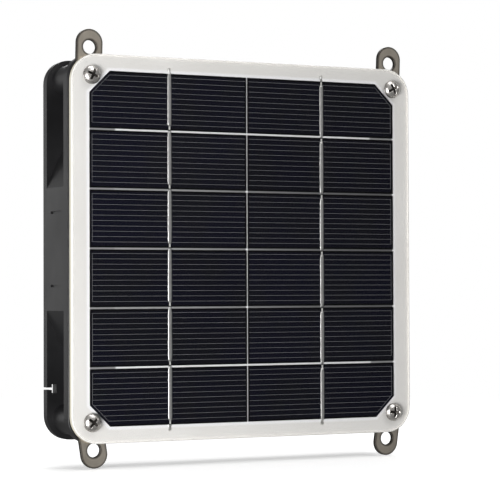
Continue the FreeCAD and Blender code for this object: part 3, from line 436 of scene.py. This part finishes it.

# %% [markdown]
# ## The white board
#
# The board behind the cells is white solder mask on laminate, a little warm. It isn't perfectly
# even: broad, faint clouds and a fine orange-peel keep it from looking like plain paint, a brighter
# line runs round the cells where the clear resin rises to them, and a slightly yellow tone shows at
# its cut edge. Between the rows of cells the board is painted grey as shade: the three middle gaps
# are grey, more so towards the right, away from the main light, and the first and last are white
# but for their outer ends.

# %% White board
def white_mask(name):
    """Warm white solder mask with faint clouds, a bright line at the cells, yellower edges and painted shade
    in the gaps between rows.
    """
    finish = Finish(name)
    clouds = finish.noise(22.0, 3.0)
    peel = finish.noise(1800.0, 2.0)
    facing_front = finish.node("ShaderNodeSeparateXYZ", None,
                               {0: finish.node("ShaderNodeNewGeometry", output="Normal")}, output=1)
    cut_edge = 1 - facing_front.math("ABSOLUTE").rise(0.4, 0.9)
    line = 1 - outside_array(finish).rise(0.5 * MM, 1.6 * MM)
    face = finish.blend(clouds.rise(0.3, 0.7), (0.632, 0.620, 0.597), (0.674, 0.664, 0.645))
    lined = finish.blend(line * 0.75, face, (0.84, 0.84, 0.86))
    across, height = finish.axis("X"), finish.axis("Z").math("ABSOLUTE")
    beside = across.math("ABSOLUTE")
    # painted shade: the board showing in the gaps between rows is greyed, more towards the right and at the
    # gaps' outer ends
    middle_rows = 1 - height.rise(0.4 * ARRAY_END, 0.5 * ARRAY_END)
    grey = middle_rows * (across.rise(-ARRAY_SIDE, ARRAY_SIDE) * 0.30 + 0.62)
    end_shade = beside.rise(ARRAY_SIDE - 10.5 * MM, ARRAY_SIDE - 9.5 * MM) * 0.72
    in_gap = (1 - outside_array(finish).rise(-0.3 * MM, 0.0)) * beside.rise(0.4 * MM, 0.6 * MM)
    lined = finish.blend(grey.math("MAXIMUM", end_shade) * in_gap, lined, (0.05, 0.05, 0.052))
    return finish.shade(Base_Color=finish.blend(cut_edge, lined, (0.66, 0.62, 0.50)),
                        Roughness=clouds * 0.12 + peel * 0.08 + 0.34, Normal=finish.bump(peel, 0.000008))


board_white = white_mask("white_solder_mask")
print("board finish ready")

# %% [markdown]
# ## The solar cells
#
# A cell is a thin slice of silicon under a dark blue coating. Looked at closely, it is nearly
# black, a little bluer or greyer from cell to cell, and darkest in a narrow band round its edge
# where the coating stops. The bands are worked out from the cell's own box, so each cell gets its
# own finish with its own tone. A seeded draw chooses the tones, so every run gives the same ones.

# %% Silicon
CELL_ROWS = 6
ROW_GAP = 0.7 * MM
SIDES = ("left", "right")
tones = random.Random(7)


def dress(node, finish):
    """Gives a part of the frame its finish in place of the plain one."""
    nodes[node].data.materials.clear()
    nodes[node].data.materials.append(finish)


def silicon(name, low, high, shade):
    """Dark coated silicon for the cell between two corners."""
    finish = Finish(name)
    across, height = finish.axis("X"), finish.axis("Z")
    inside_x = (across - (low.x + high.x) / 2).math("ABSOLUTE") * -1 + (high.x - low.x) / 2
    inside_z = (height - (low.z + high.z) / 2).math("ABSOLUTE") * -1 + (high.z - low.z) / 2
    rim = 1 - inside_x.math("MINIMUM", inside_z).rise(0.45 * MM, 0.95 * MM)
    cloud = finish.noise(55.0, 4.0, 0.6)
    grain = finish.noise(2400.0, 2.0)
    blue = tuple(part * shade for part in (0.0024, 0.0025, 0.0076))
    grey = tuple(part * shade for part in (0.0034, 0.0036, 0.0062))
    body = finish.blend(cloud.rise(0.35, 0.65), blue, grey)
    return finish.shade(Base_Color=finish.blend(rim, body, (0.0008, 0.0008, 0.0015)),
                        Roughness=cloud * 0.12 + grain * 0.1 + 0.38, Specular_IOR_Level=0.10,
                        Normal=finish.bump(grain, 0.000004))


for row in range(CELL_ROWS):
    for side in SIDES:
        node = "cell_row%d_%s" % (row + 1, side)
        low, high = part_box(node)
        dress(node, silicon("silicon_%d_%s" % (row + 1, side), low, high, tones.uniform(0.85, 1.2)))
print("twelve cells coated")

# %% [markdown]
# ## Giving each part its finish
#
# A part keeps its shape and swaps the plain material that it came with. One table says which part
# gets which finish.

# %% Finishes onto parts
FINISHES = {
    frame_black: ["fan_frame"],
    blade_black: ["impeller"],
    nylon: ["thrust_pad", "oil_washer", "rear_bobbin", "front_bobbin", "shaft_clip"],
    chip_black: ["driver_chip"],
    steel: ["rotor_yoke", "motor_shaft"],
    laminations: ["stator_core"],
    brass: ["bearing_tube", "shaft_insert"],
    bronze: ["sleeve_bearing"],
    foil: ["motor_foil"],
    aluminium: ["capacitor"],
    copper: ["stator_coil_%d" % (number + 1) for number in range(4)],
    magnet: ["rotor_magnet"],
    laminate: ["motor_board"],
    red_pvc: ["lead_red"],
    black_pvc: ["lead_black"],
    solder: ["solder_red", "solder_black", "winding_pins"],
    board_white: ["panel_board"],
}
FINISHES.update({finish: [ear] for ear, finish in ear_finishes.items()})
for finish, names in FINISHES.items():
    for name in names:
        dress(name, finish)
print("finishes on", sum(len(names) for names in FINISHES.values()), "more parts")

# %% [markdown]
# ## New pieces
#
# A new piece is a plain mesh with its place in its vertices, so its object stays at the origin. One
# helper turns a bmesh into such a mesh. The other makes a piece of it, gives it its finish, and lets
# it ride on a body.

# %% Helpers for pieces
def mesh_from(shape, name):
    """A bmesh as a mesh, with its faces turned outwards."""
    bmesh.ops.recalc_face_normals(shape, faces=shape.faces)
    mesh = bpy.data.meshes.new(name)
    shape.to_mesh(mesh)
    shape.free()
    return mesh


def piece_of(mesh, name, finish, body="fan_housing", smooth=False):
    """A mesh as a finished piece that rides on a body."""
    item = bpy.data.objects.new(name, mesh)
    bpy.context.collection.objects.link(item)
    mesh.materials.clear()
    mesh.materials.append(finish)
    for face in mesh.polygons:
        face.material_index = 0
        face.use_smooth = smooth
    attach(item, body)
    print(name, "has", len(mesh.polygons), "faces")
    return item


print("piece helpers ready")

# %% [markdown]
# ## The cover as a piece
#
# The mechanical cover touches the board face to face, and two surfaces in one place make a mess
# with a clear material. This sheet has the same outline and front, and its back floats a hair in
# front of the board. It is a stack of rounded squares: the back, the straight wall, the steps of
# the rounding, and the flat front. A clear sheet darkens nothing behind it, so it casts no shadow.

# %% Cover
BOARD_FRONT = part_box("panel_board")[0].y
COVER_GAP = 0.03 * MM
COVER_ROUND = 0.48 * MM
ROUND_STEPS = 6


def rounded_square(half, corner, steps=12):
    """Points round a square with rounded corners, counter-clockwise seen from the front."""
    middle = half - corner
    for quarter, (side_x, side_z) in enumerate(((1, 1), (-1, 1), (-1, -1), (1, -1))):
        for step in range(steps + 1):
            angle = math.tau * (quarter + step / steps) / 4
            yield side_x * middle + corner * math.cos(angle), side_z * middle + corner * math.sin(angle)


def pairs(items):
    """Each item with the next one."""
    return list(zip(items, items[1:]))


def stacked(shape, loops):
    """Joins loops of vertices into a closed skin with flat ends."""
    rings = [[shape.verts.new(point) for point in loop] for loop in loops]
    for first, second in pairs(rings):
        for number in range(len(first)):
            following = (number + 1) % len(first)
            shape.faces.new((first[number], first[following], second[following], second[number]))
    shape.faces.new(rings[0])
    shape.faces.new(list(reversed(rings[-1])))


def cover_loops():
    """(inset, depth) of each loop of the cover, from its back to its front."""
    yield 0.0, BOARD_FRONT - COVER_GAP
    for step in range(ROUND_STEPS + 1):
        angle = math.tau / 4 * step / ROUND_STEPS
        yield COVER_ROUND * (1 - math.cos(angle)), PANEL_FRONT + COVER_ROUND * (1 - math.sin(angle))


shape = bmesh.new()
stacked(shape, [[(x, depth, z) for x, z in rounded_square(PANEL_HALF - inset, PANEL_CORNER - inset)]
                for inset, depth in cover_loops()])
cover = piece_of(mesh_from(shape, "clear_cover"), "clear_cover", clear)
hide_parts("panel_cover")
cover.visible_shadow = False

# %% [markdown]
# ## Screws
#
# Four pan-head self-tapping screws go through the panel and the ears into the corner posts. One is
# made as a closed skin turned round its own axis: the point, the threaded shank, the underside of
# the head, its rim and its dome. The thread is a ridge that climbs one pitch a turn. The cross
# recess is pressed into the dome by lowering the skin where the two arms of the cross run; its
# walls lean and its floor rises towards the ends of the arms, as the punch leaves them. Geometry
# Nodes puts a copy on each corner hole, every one turned by a different angle, as a driver would
# leave them.

# %% One screw
SHANK_RADIUS, HEAD_HEIGHT = 1.75 * MM, 2.0 * MM
HEAD_RIM, DOME_POWER = 0.34 * MM, 2.8
POINT_LENGTH, THREAD_PITCH, THREAD_HEIGHT = 2.2 * MM, 1.3 * MM, 0.28 * MM
RECESS_DEPTH, RECESS_REACH = 1.35 * MM, 2.15 * MM
RECESS_WIDTH, RECESS_LEAN = 1.0 * MM, 0.16 * MM
AROUND, DOME_STEPS, LOOPS_A_PITCH = 96, 40, 6


def recess(across, height):
    """How deep the cross recess is at a place on the head, seen along the screw."""
    def arm(along, beside):
        rising = min(1.0, max(0.0, (RECESS_REACH - abs(along)) / (0.6 * RECESS_REACH)))
        walls = min(1.0, max(0.0, (RECESS_WIDTH / 2 - abs(beside)) / RECESS_LEAN))
        return RECESS_DEPTH * rising ** 0.7 * walls
    return max(arm(across, height), arm(height, across))


def dome(radius):
    """Height of the pan head at a distance from its middle."""
    return HEAD_HEIGHT * (1 - (radius / HEAD_RADIUS) ** DOME_POWER) ** 0.5


def screw_loops(length):
    """Loops of one screw with the head's seat at zero and the head towards -Y."""
    count = round(length / (THREAD_PITCH / LOOPS_A_PITCH))
    angles = [math.tau * number / AROUND for number in range(AROUND)]
    for step in range(count + 1):
        depth = length - length * step / count
        taper = min(1.0, 0.12 + 0.88 * (length - depth) / POINT_LENGTH)
        loop = []
        for angle in angles:
            turn = (depth / THREAD_PITCH + angle / math.tau) % 1.0
            ridge = THREAD_HEIGHT * max(0.0, 1 - abs(turn - 0.5) * 5) * taper
            radius = (SHANK_RADIUS - THREAD_HEIGHT) * taper + ridge
            loop.append((radius * math.cos(angle), depth, radius * math.sin(angle)))
        yield loop
    rim = [(HEAD_RADIUS - 0.12 * MM, 0.0), (HEAD_RADIUS, -0.12 * MM), (HEAD_RADIUS, -HEAD_RIM)]
    for radius, depth in rim:
        yield [(radius * math.cos(angle), depth, radius * math.sin(angle)) for angle in angles]
    for step in range(1, DOME_STEPS):
        radius = HEAD_RADIUS * (1 - (step / DOME_STEPS) ** 1.25) + 0.02 * MM
        loop = []
        for angle in angles:
            across, height = radius * math.cos(angle), radius * math.sin(angle)
            top = max(dome(min(radius, HEAD_RADIUS * 0.995)), HEAD_RIM)
            loop.append((across, recess(across, height) - top, height))
        yield loop


SCREW_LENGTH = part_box("panel_screws")[1].y - PANEL_FRONT
shape = bmesh.new()
stacked(shape, screw_loops(SCREW_LENGTH))
screw_mesh = mesh_from(shape, "one_screw")
one_screw = bpy.data.objects.new("one_screw", screw_mesh)
bpy.context.collection.objects.link(one_screw)
print("one screw has", len(screw_mesh.polygons), "faces and is %.1f mm long" % (SCREW_LENGTH / MM))

# %% [markdown]
# ## Plating of the screws
#
# The plating is bright on the dome. Shade is painted into the cross and round the foot of the head,
# and a faint ring of painted shade goes round the cross. The finish works out how far a place lies
# below the plain dome: deep places are in the cross. All four heads share it, because they stand at
# the same distance from the panel's two middle lines.

# %% Plating of the screws
def screw_plating(name):
    """Bright plating, with painted shade in the recess, in a faint ring round it and round the foot of the
    head.
    """
    finish = Finish(name)
    across, height = (finish.axis(letter).math("ABSOLUTE") - SCREW_CORNER for letter in "XZ")
    share = ((across * across + height * height).math("SQRT") / HEAD_RADIUS).math("MINIMUM", 0.999)
    surface = (1 - share.math("POWER", DOME_POWER)).math("SQRT") * HEAD_HEIGHT
    sunk = finish.axis("Y") - PANEL_FRONT + surface
    # painted shade: dark in the cross recess, in a faint ring round it and round the foot of the head
    foot = share.rise(0.88, 0.97)
    ring = share.rise(0.48, 0.60) * (1 - share.rise(0.68, 0.78)) * 0.22
    recess_shade = sunk.rise(0.08 * MM, 0.45 * MM) * (1 - foot) * 0.95
    painted_shade = recess_shade.math("MAXIMUM", ring).math("MAXIMUM", foot * 0.62)
    haze = finish.noise(900.0, 3.0)
    bright = finish.blend(haze, (0.76, 0.725, 0.685), (0.93, 0.90, 0.865))
    return finish.shade(Base_Color=finish.blend(painted_shade, bright, (0.035, 0.03, 0.026)), Metallic=1.0,
                        Roughness=haze * 0.12 + painted_shade * 0.20 + 0.22, Normal=finish.bump(haze, 0.000004))


chrome = screw_plating("screw_plating")
print("screw finish ready")

# %% [markdown]
# ## A tree that places copies
#
# The screws are four copies of one, so a small Geometry Nodes tree sets a copy on every point of a
# mesh. A point carries its own angle as an attribute. The fingers on the cells use a second tree of
# the same kind, so its common parts are functions: one opens a tree, one ends it with real geometry
# and a material, one makes the points, and one runs a tree and keeps the plain mesh.

# %% The tree that places them
def new_tree(name, inputs):
    """An empty Geometry Nodes tree with a geometry input, named inputs and a geometry output."""
    tree = bpy.data.node_groups.new(name, "GeometryNodeTree")
    tree.interface.new_socket("Geometry", in_out="INPUT", socket_type="NodeSocketGeometry")
    for label, kind in inputs:
        tree.interface.new_socket(label, in_out="INPUT", socket_type=kind)
    tree.interface.new_socket("Geometry", in_out="OUTPUT", socket_type="NodeSocketGeometry")
    graph = Graph(tree)
    entry = graph.make("NodeGroupInput")
    return tree, graph, {socket.name: Wire(graph, socket) for socket in entry.outputs if socket.name}


def float_attribute(graph, name):
    """A float that each point carries."""
    return graph.node("GeometryNodeInputNamedAttribute", {"data_type": "FLOAT"}, {"Name": name})


def place_and_end(graph, given, piece, **more):
    """Sets the piece on every point, turned about Y by the point's angle, and ends the tree."""
    points = graph.node("GeometryNodeMeshToPoints", None, {"Mesh": given["Geometry"]})
    turn = graph.node("ShaderNodeCombineXYZ", None, {"Y": float_attribute(graph, "angle")})
    sockets = {"Points": points, "Instance": piece, "Rotation": turn, **more}
    placed = graph.node("GeometryNodeInstanceOnPoints", None, sockets)
    real = graph.node("GeometryNodeRealizeInstances", None, {0: placed})
    done = graph.node("GeometryNodeSetMaterial", None, {"Geometry": real, "Material": given["Finish"]})
    graph.make("NodeGroupOutput", None, {0: done})


def copies_on_points():
    """A copy of an object on every point."""
    tree, graph, given = new_tree("copies_on_points", [
        ("Piece", "NodeSocketObject"), ("Finish", "NodeSocketMaterial")])
    piece = graph.node("GeometryNodeObjectInfo", None, {"Object": given["Piece"]}, output="Geometry")
    place_and_end(graph, given, piece)
    return tree


copy_tree = copies_on_points()
print("tree", copy_tree.name, "has", len(copy_tree.nodes), "nodes")


# %% Points for a tree, and the mesh it makes
def point_mesh(name, points, attributes):
    """A mesh of loose points that carry float attributes."""
    mesh = bpy.data.meshes.new(name)
    mesh.from_pydata(points, [], [])
    for label, values in attributes.items():
        layer = mesh.attributes.new(label, "FLOAT", "POINT")
        layer.data.foreach_set("value", values)
    return mesh


def grown(name, mesh, tree, values):
    """Runs a tree on a mesh and returns the result as a plain mesh."""
    host = bpy.data.objects.new(name + "_host", mesh)
    bpy.context.collection.objects.link(host)
    modifier = host.modifiers.new("grow", "NODES")
    modifier.node_group = tree
    for item in tree.interface.items_tree:
        if item.in_out == "INPUT" and item.name in values:
            modifier[item.identifier] = values[item.name]
    ready = host.evaluated_get(bpy.context.evaluated_depsgraph_get())
    result = bpy.data.meshes.new_from_object(ready)
    host.modifiers.clear()
    bpy.data.objects.remove(host)
    result.name = name
    return result


print("points carry their numbers as attributes, and a grown mesh is plain again")

# %% Screws in place
SCREW_TURNS = (24.0, 63.0, 38.0, 5.0)
corners = [(x, PANEL_FRONT, z) for z in (SCREW_CORNER, -SCREW_CORNER) for x in (-SCREW_CORNER, SCREW_CORNER)]
screw_points = point_mesh("screw_points", corners, {"angle": [math.radians(turn) for turn in SCREW_TURNS]})
screws = grown("panel_screw_set", screw_points, copy_tree, {"Piece": one_screw, "Finish": chrome})
bpy.data.objects.remove(one_screw)
screw_set = piece_of(screws, "panel_screw_set", chrome, smooth=True)
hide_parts("panel_screws")
print("screws stand %.2f mm from the middle" % (SCREW_CORNER / MM))

# %% [markdown]
# ## Fingers of silver on the cells
#
# Fine lines of silver paste run across each cell and gather its current. There are ten to a cell,
# all alike but for the corner cells, where the cut corner shortens them. A Geometry Nodes tree
# suits this: a point stands for each finger and carries its length, and the tree puts a thin bar
# on every point.

# %% The finger tree
def bars_on_points():
    """A bar on every point, as long as the point's own length attribute says."""
    tree, graph, given = new_tree("bars_on_points", [
        ("Bar Width", "NodeSocketFloat"), ("Bar Height", "NodeSocketFloat"),
        ("Finish", "NodeSocketMaterial")])
    bar = graph.node("GeometryNodeMeshCube", None, {"Size": (1.0, 1.0, 1.0)})
    size = graph.node("ShaderNodeCombineXYZ", None, {
        "X": float_attribute(graph, "length"), "Y": given["Bar Height"], "Z": given["Bar Width"]})
    place_and_end(graph, given, bar, Scale=size)
    return tree


bar_tree = bars_on_points()
print("tree", bar_tree.name, "has", len(bar_tree.nodes), "nodes")

# %% Sizes of the cell array
CELL_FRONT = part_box("cell_row1_left")[0].y
FINGERS = 10
FINGER_PITCH = 1.92 * MM
FINGER_WIDTH = 0.075 * MM
FINGER_HEIGHT = 0.012 * MM
FIRST_FINGER = 1.45 * MM
EDGE_INSET = 0.95 * MM
INNER_INSET = 0.5 * MM
print("fingers are %.3f mm wide and %.2f mm apart" % (FINGER_WIDTH / MM, FINGER_PITCH / MM))


# %% Fingers
def reach_of(height):
    """How far out from the middle a finger at this height may go, past no cut corner."""
    slope = ARRAY_SIDE + ARRAY_END - CHAMFER - EDGE_INSET * math.sqrt(2) - abs(height)
    return min(ARRAY_SIDE - EDGE_INSET, slope)


def finger_rows():
    """Middle, length and angle of each finger and of the lines that join their ends."""
    for row in range(CELL_ROWS):
        for side in SIDES:
            low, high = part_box("cell_row%d_%s" % (row + 1, side))
            heights = [high.z - FIRST_FINGER - number * FINGER_PITCH for number in range(FINGERS)]
            sign = -1 if side == "left" else 1
            inner = min(abs(low.x), abs(high.x)) + INNER_INSET
            for height in heights:
                outer = reach_of(height)
                yield sign * (inner + outer) / 2, height, outer - inner, 0.0
            corner = ARRAY_END - CHAMFER - EDGE_INSET * (math.sqrt(2) - 1)
            stops = [heights[0], heights[-1]]
            if abs(heights[0]) > corner:
                stops.insert(1, corner)
            if abs(heights[-1]) > corner:
                stops.insert(1, -corner)
            for (x0, z0), (x1, z1) in pairs([(sign * reach_of(height), height) for height in stops]):
                length, angle = math.dist((x0, z0), (x1, z1)), math.atan2(z0 - z1, x1 - x0)
                yield (x0 + x1) / 2, (z0 + z1) / 2, length, angle


rows = list(finger_rows())
finger_points = point_mesh("finger_points", [(x, CELL_FRONT - FINGER_HEIGHT / 2, z) for x, z, _, _ in rows],
                           {"length": [length for _, _, length, _ in rows],
                            "angle": [angle for _, _, _, angle in rows]})
silver = coated("silver_paste", (0.20, 0.20, 0.215), (0.32, 0.32, 0.335), 0.55, 900.0, 0.000002, metal=0.2)
fingers = grown("cell_fingers", finger_points, bar_tree,
                {"Bar Width": FINGER_WIDTH, "Bar Height": FINGER_HEIGHT, "Finish": silver})
piece_of(fingers, "cell_fingers", silver)

# %% [markdown]
# ## Busbars
#
# A broader printed bar crosses the fingers under each ribbon and takes the solder. It needs no tree
# of its own: it is one bar for each cell, turned upright.

# %% Busbars
BUSBAR_WIDTH = 0.65 * MM
BUSBAR_SHORTER = 0.5 * MM
bars = []
for row in range(CELL_ROWS):
    for side in SIDES:
        low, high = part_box("cell_row%d_%s" % (row + 1, side))
        strip_low, strip_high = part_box("ribbons_" + side)
        length = high.z - low.z - BUSBAR_SHORTER
        bars.append(((strip_low.x + strip_high.x) / 2, (low.z + high.z) / 2, length))
busbar_points = point_mesh("busbar_points", [(x, CELL_FRONT - FINGER_HEIGHT / 2, z) for x, z, _ in bars],
                           {"length": [length for _, _, length in bars],
                            "angle": [math.tau / 4] * len(bars)})
paste = coated("busbar_paste", (0.44, 0.44, 0.42), (0.66, 0.66, 0.64), 0.5, 900.0, 0.000002, metal=0.3)
busbars = grown("cell_busbars", busbar_points, bar_tree,
                {"Bar Width": BUSBAR_WIDTH, "Bar Height": 1.5 * FINGER_HEIGHT, "Finish": paste})
piece_of(busbars, "cell_busbars", paste)

# %% [markdown]
# ## Soldered ribbons
#
# A flat tinned ribbon runs down the middle of each column and joins cell to cell. Soldering by hand
# leaves its edges wavy and its back low and rounded, and it is nipped where it dips between two
# cells. The ribbon is a short cross-section carried along a path. Its width wanders with a seeded
# draw and narrows at the dips.

# %% Ribbons
RIBBON_STEP = 0.7 * MM
RIBBON_THICK = 0.15 * MM
RIBBON_SECTION = (
    (-0.5, 0.0), (-0.46, 0.5), (-0.3, 0.86), (0.0, 1.0), (0.3, 0.86), (0.46, 0.5), (0.5, 0.0))
CELL_FACE, BOARD_FACE = 0.35 * MM, 0.0
NIP_LENGTH = 1.4 * MM
START_BELOW, REACH_NEXT, REACH_LAST = 1.6 * MM, 3.0 * MM, 1.4 * MM
ribbon_draw = random.Random(19)


def ribbon_path(top, bottom, gap, dips):
    """(height, rise, width) samples of one cell's ribbon; rise is from the board's face."""
    count = max(6, round((top - bottom) / RIBBON_STEP))
    wander = 0.0
    for number in range(count + 1):
        share = number / count
        height = top + (bottom - top) * share
        wander += ribbon_draw.uniform(-0.035, 0.035) - wander * 0.25
        from_end = min(height - bottom, top - height)
        nip = 0.80 + 0.20 * min(1.0, from_end / NIP_LENGTH)
        yield height, CELL_FACE, nip + wander
    yield bottom - gap * 0.30, CELL_FACE * 0.9, 0.80
    yield bottom - gap * 0.55, (CELL_FACE + BOARD_FACE) / 2, 0.78
    yield bottom - gap * 0.75, BOARD_FACE, 0.80
    yield bottom - gap - dips, BOARD_FACE, 0.92


def add_strip(shape, middle, samples, width, sense):
    """A rounded ribbon through the samples, closed at both ends."""
    stacked(shape, ([(middle + across * width * share, BOARD_FRONT - rise - lift * RIBBON_THICK,
                      sense * height) for across, lift in RIBBON_SECTION]
                    for height, rise, share in samples))


row_pitch = (2 * ARRAY_END + ROW_GAP) / CELL_ROWS
tail = [(ARRAY_END + past * MM, BOARD_FACE, width) for past, width in ((-3.0, 0.9), (0.6, 0.9), (2.2, 0.7))]
for side, sense in (("left", -1), ("right", 1)):
    low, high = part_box("ribbons_" + side)
    middle, width = (low.x + high.x) / 2, high.x - low.x
    shape = bmesh.new()
    for row in range(CELL_ROWS):
        top = ARRAY_END - row * row_pitch - START_BELOW
        bottom = ARRAY_END - (row + 1) * row_pitch + ROW_GAP
        dips = REACH_LAST if row == CELL_ROWS - 1 else REACH_NEXT
        add_strip(shape, middle, ribbon_path(top, bottom, ROW_GAP, dips), width, sense)
    add_strip(shape, middle, tail, width, sense)
    name = "soldered_ribbon_" + side
    ribbon = piece_of(mesh_from(shape, name), name, solder, smooth=True)
    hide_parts("ribbons_" + side)

# %% [markdown]
# ## Floor
#
# The fan stands over a plain pale floor. It turns into the even white of the background at a
# distance, so that no line shows behind the fan. Shiny parts don't mirror it, because a white floor
# would wash out the dark cells, and it casts no shadow itself, so that the low main light isn't cut
# off by it.

# %% Floor
FLOOR_HALF, FLOOR_GAP = 4.0, 0.3 * MM
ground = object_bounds()[0][2] - FLOOR_GAP
paper = Finish("pale_floor")
away = (paper.axis("X") * paper.axis("X") + paper.axis("Y") * paper.axis("Y")).math("SQRT")
near = paper.node("ShaderNodeBsdfPrincipled", None, {
    "Base Color": paper.blend(paper.noise(30.0), (0.87, 0.87, 0.87), (0.90, 0.90, 0.90)),
    "Roughness": 0.9,
    "Emission Color": (1.0, 1.0, 1.0, 1.0), "Emission Strength": 0.50})
far = paper.node("ShaderNodeEmission", None, {"Color": (1.0, 1.0, 1.0, 1.0), "Strength": 1.0})
paper.finish(paper.node("ShaderNodeMixShader", None, {0: away.rise(0.12, 0.45), 1: near, 2: far}))
floor_mesh = bpy.data.meshes.new("floor")
floor_corners = [(x * FLOOR_HALF, y * FLOOR_HALF, ground) for x, y in ((-1, -1), (1, -1), (1, 1), (-1, 1))]
floor_mesh.from_pydata(floor_corners, [], [(0, 1, 2, 3)])
floor_mesh.materials.append(paper.material)
floor = bpy.data.objects.new("floor", floor_mesh)
bpy.context.collection.objects.link(floor)
floor.visible_glossy = floor.visible_diffuse = floor.visible_shadow = False
print("floor at %.1f mm" % (ground / MM))

# %% [markdown]
# ## Room and lights
#
# A small soft light stands close to the fan, low at its front left, so that the white panel is
# brightest at its left edge and greyer to the right. A wider one fills from above in front, one
# skims the frame's side from behind, and two light the back and the top. None stands where the flat
# panel would mirror it. The room that shiny parts mirror is darker than the background that the eye
# sees, which keeps the cells dark.

# %% Room and lights
ROOM, BACKGROUND = 0.20, 1.0
world = bpy.data.worlds.new("studio")
bpy.context.scene.world = world
world.use_nodes = True
world.node_tree.nodes.clear()
room = Graph(world.node_tree)
seen = room.node("ShaderNodeLightPath", output="Is Camera Ray")
brightness = seen * (BACKGROUND - ROOM) + ROOM
walls = room.node("ShaderNodeBackground", None, {"Color": (1.0, 1.0, 1.0, 1.0), "Strength": brightness})
room.make("ShaderNodeOutputWorld", None, {"Surface": walls})


def soft_light(name, place, size, power):
    """A square area light aimed at the middle of the fan."""
    data = bpy.data.lights.new(name, "AREA")
    data.size, data.energy = size, power
    lamp = bpy.data.objects.new(name, data)
    bpy.context.collection.objects.link(lamp)
    lamp.location = place
    lamp.rotation_euler = (-Vector(place)).to_track_quat("-Z", "Y").to_euler()


soft_light("key", (-0.40, -0.37, -0.09), 0.25, 3.35)
soft_light("fill", (0.25, -0.75, 0.85), 0.5, 3.0)
soft_light("left_back", (-0.5, 0.85, 0.1), 0.45, 0.6)
soft_light("back", (0.35, 0.8, 0.7), 0.6, 7.0)
soft_light("overhead", (0.0, -0.1, 1.0), 0.6, 2.4)
bpy.context.scene.view_settings.view_transform = "Standard"
print("studio lit by", len(bpy.data.lights), "lights")
